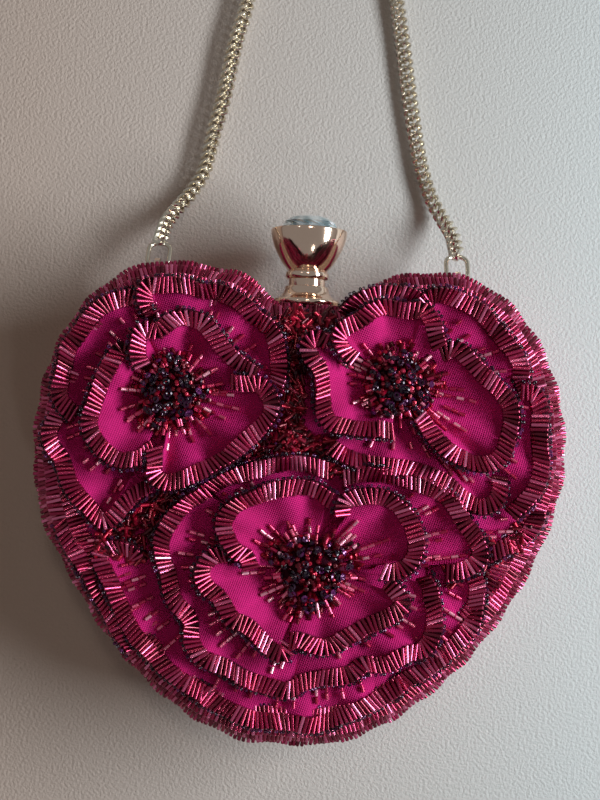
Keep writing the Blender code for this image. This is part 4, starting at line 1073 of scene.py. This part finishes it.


# Stage: a pale floor and soft daylight from the right.
# the floor's two end colours are painted light: warm to the left and cool to the right, as the room
# and window light fall
stage = dict(
    floorSize=6.0, paintedLightLeft=(0.65, 0.525, 0.465), paintedLightRight=(0.57, 0.585, 0.59), turn=0.11,
    grainSize=900, grainDark=0.06, grainDepth=0.0006, world=(1.0, 0.78, 0.60), worldStrength=0.06,
    gleamStrength=0.24, far=(0.52, 0.50, 0.48), farStart=0.22, farReach=0.75, skyShare=1.12)
lamps = (
    dict(name="window", at=(0.56, 0.05, 0.38), aim=(0, 0, 0.3), size=(0.56, 0.18), power=6.9,
         colour=(0.90, 0.98, 1.0)),
    dict(name="ceiling", at=(0.06, 0.36, 1.0), aim=(0, 0, 0), size=(0.12, 0.12), power=0.6,
         colour=(1.0, 0.85, 0.72)),
    dict(name="leftGlint", at=(-0.40, 0.30, 0.70), aim=(0, 0, 0), size=(0.05, 0.05), power=0.05,
         colour=(1.0, 0.94, 0.88)),
    dict(name="nearGlint", at=(0.20, -0.50, 0.62), aim=(0, 0, 0), size=(0.05, 0.05), power=0.24,
         colour=(1.0, 0.96, 0.92)))


def makeFloor():
    # painted light: warmer to the left and cooler to the right, as the room and window light fall;
    # only the far floor glows, and only for the camera
    floor = begun("plane", size=stage["floorSize"])
    floor.name = "floor"
    paint = Paint("paleFloor", {"Roughness": 0.75, "Emission Strength": 1.0})
    grain = paint.noise(stage["grainSize"])
    x, y = paint.axes()[:2]
    # painted light: the floor's colour turns from warm at the left to cool at the right
    across = (x / (2 * stage["turn"]) + 0.5).between(0, 1)
    paintedLightTint = paint.blend(across, stage["paintedLightLeft"], stage["paintedLightRight"])
    far = ((x * x + y * y) ** 0.5 - stage["farStart"]) / stage["farReach"]
    seen = far.between(0, 1) * paint.node("LightPath", {}, {}, "Is Camera Ray")
    black = (0, 0, 0)
    paint.finish({"Base Color": paint.blend(grain * stage["grainDark"], paintedLightTint, black),
                  "Emission Color": paint.blend(seen, black, stage["far"])})
    paint.bump(grain, stage["grainDepth"], strength=0.7)
    floor.data.materials.append(paint.material)


def makeLamps():
    for lamp in lamps:
        data = bpy.data.lights.new(lamp["name"], "AREA")
        data.shape, (data.size, data.size_y) = "RECTANGLE", lamp["size"]
        data.energy, data.color = lamp["power"], lamp["colour"]
        light = added(lamp["name"], data)
        light.location = lamp["at"]
        aim = Vector(lamp["aim"]) - Vector(lamp["at"])
        light.rotation_euler = aim.to_track_quat("-Z", "Y").to_euler()


def makeWorld():
    # a dim warm room, pale to the camera, and brighter in what polished metal and glass mirror
    world = bpy.data.worlds.new("daylight")
    bpy.context.scene.world = world
    world.use_nodes = True
    nodes, links = world.node_tree.nodes, world.node_tree.links
    seen, rays = nodes["Background"], nodes.new("ShaderNodeLightPath")
    seen.inputs["Color"].default_value = (*stage["world"], 1)
    seen.inputs["Strength"].default_value = stage["worldStrength"]
    gleam = (1, 1, 1), stage["gleamStrength"]
    for ray, (colour, strength) in (("Is Camera Ray", (stage["far"], stage["skyShare"])),
                                    ("Is Glossy Ray", gleam), ("Is Transmission Ray", gleam)):
        pale, mix = nodes.new("ShaderNodeBackground"), nodes.new("ShaderNodeMixShader")
        pale.inputs["Color"].default_value = (*colour, 1)
        pale.inputs["Strength"].default_value = strength
        links.new(rays.outputs[ray], mix.inputs[0])
        links.new(seen.outputs[0], mix.inputs[1])
        links.new(pale.outputs[0], mix.inputs[2])
        seen = mix
    links.new(seen.outputs[0], nodes["World Output"].inputs["Surface"])


makeFloor()
makeLamps()
makeWorld()
bpy.context.scene.view_settings.view_transform = "Standard"
print("stage made")
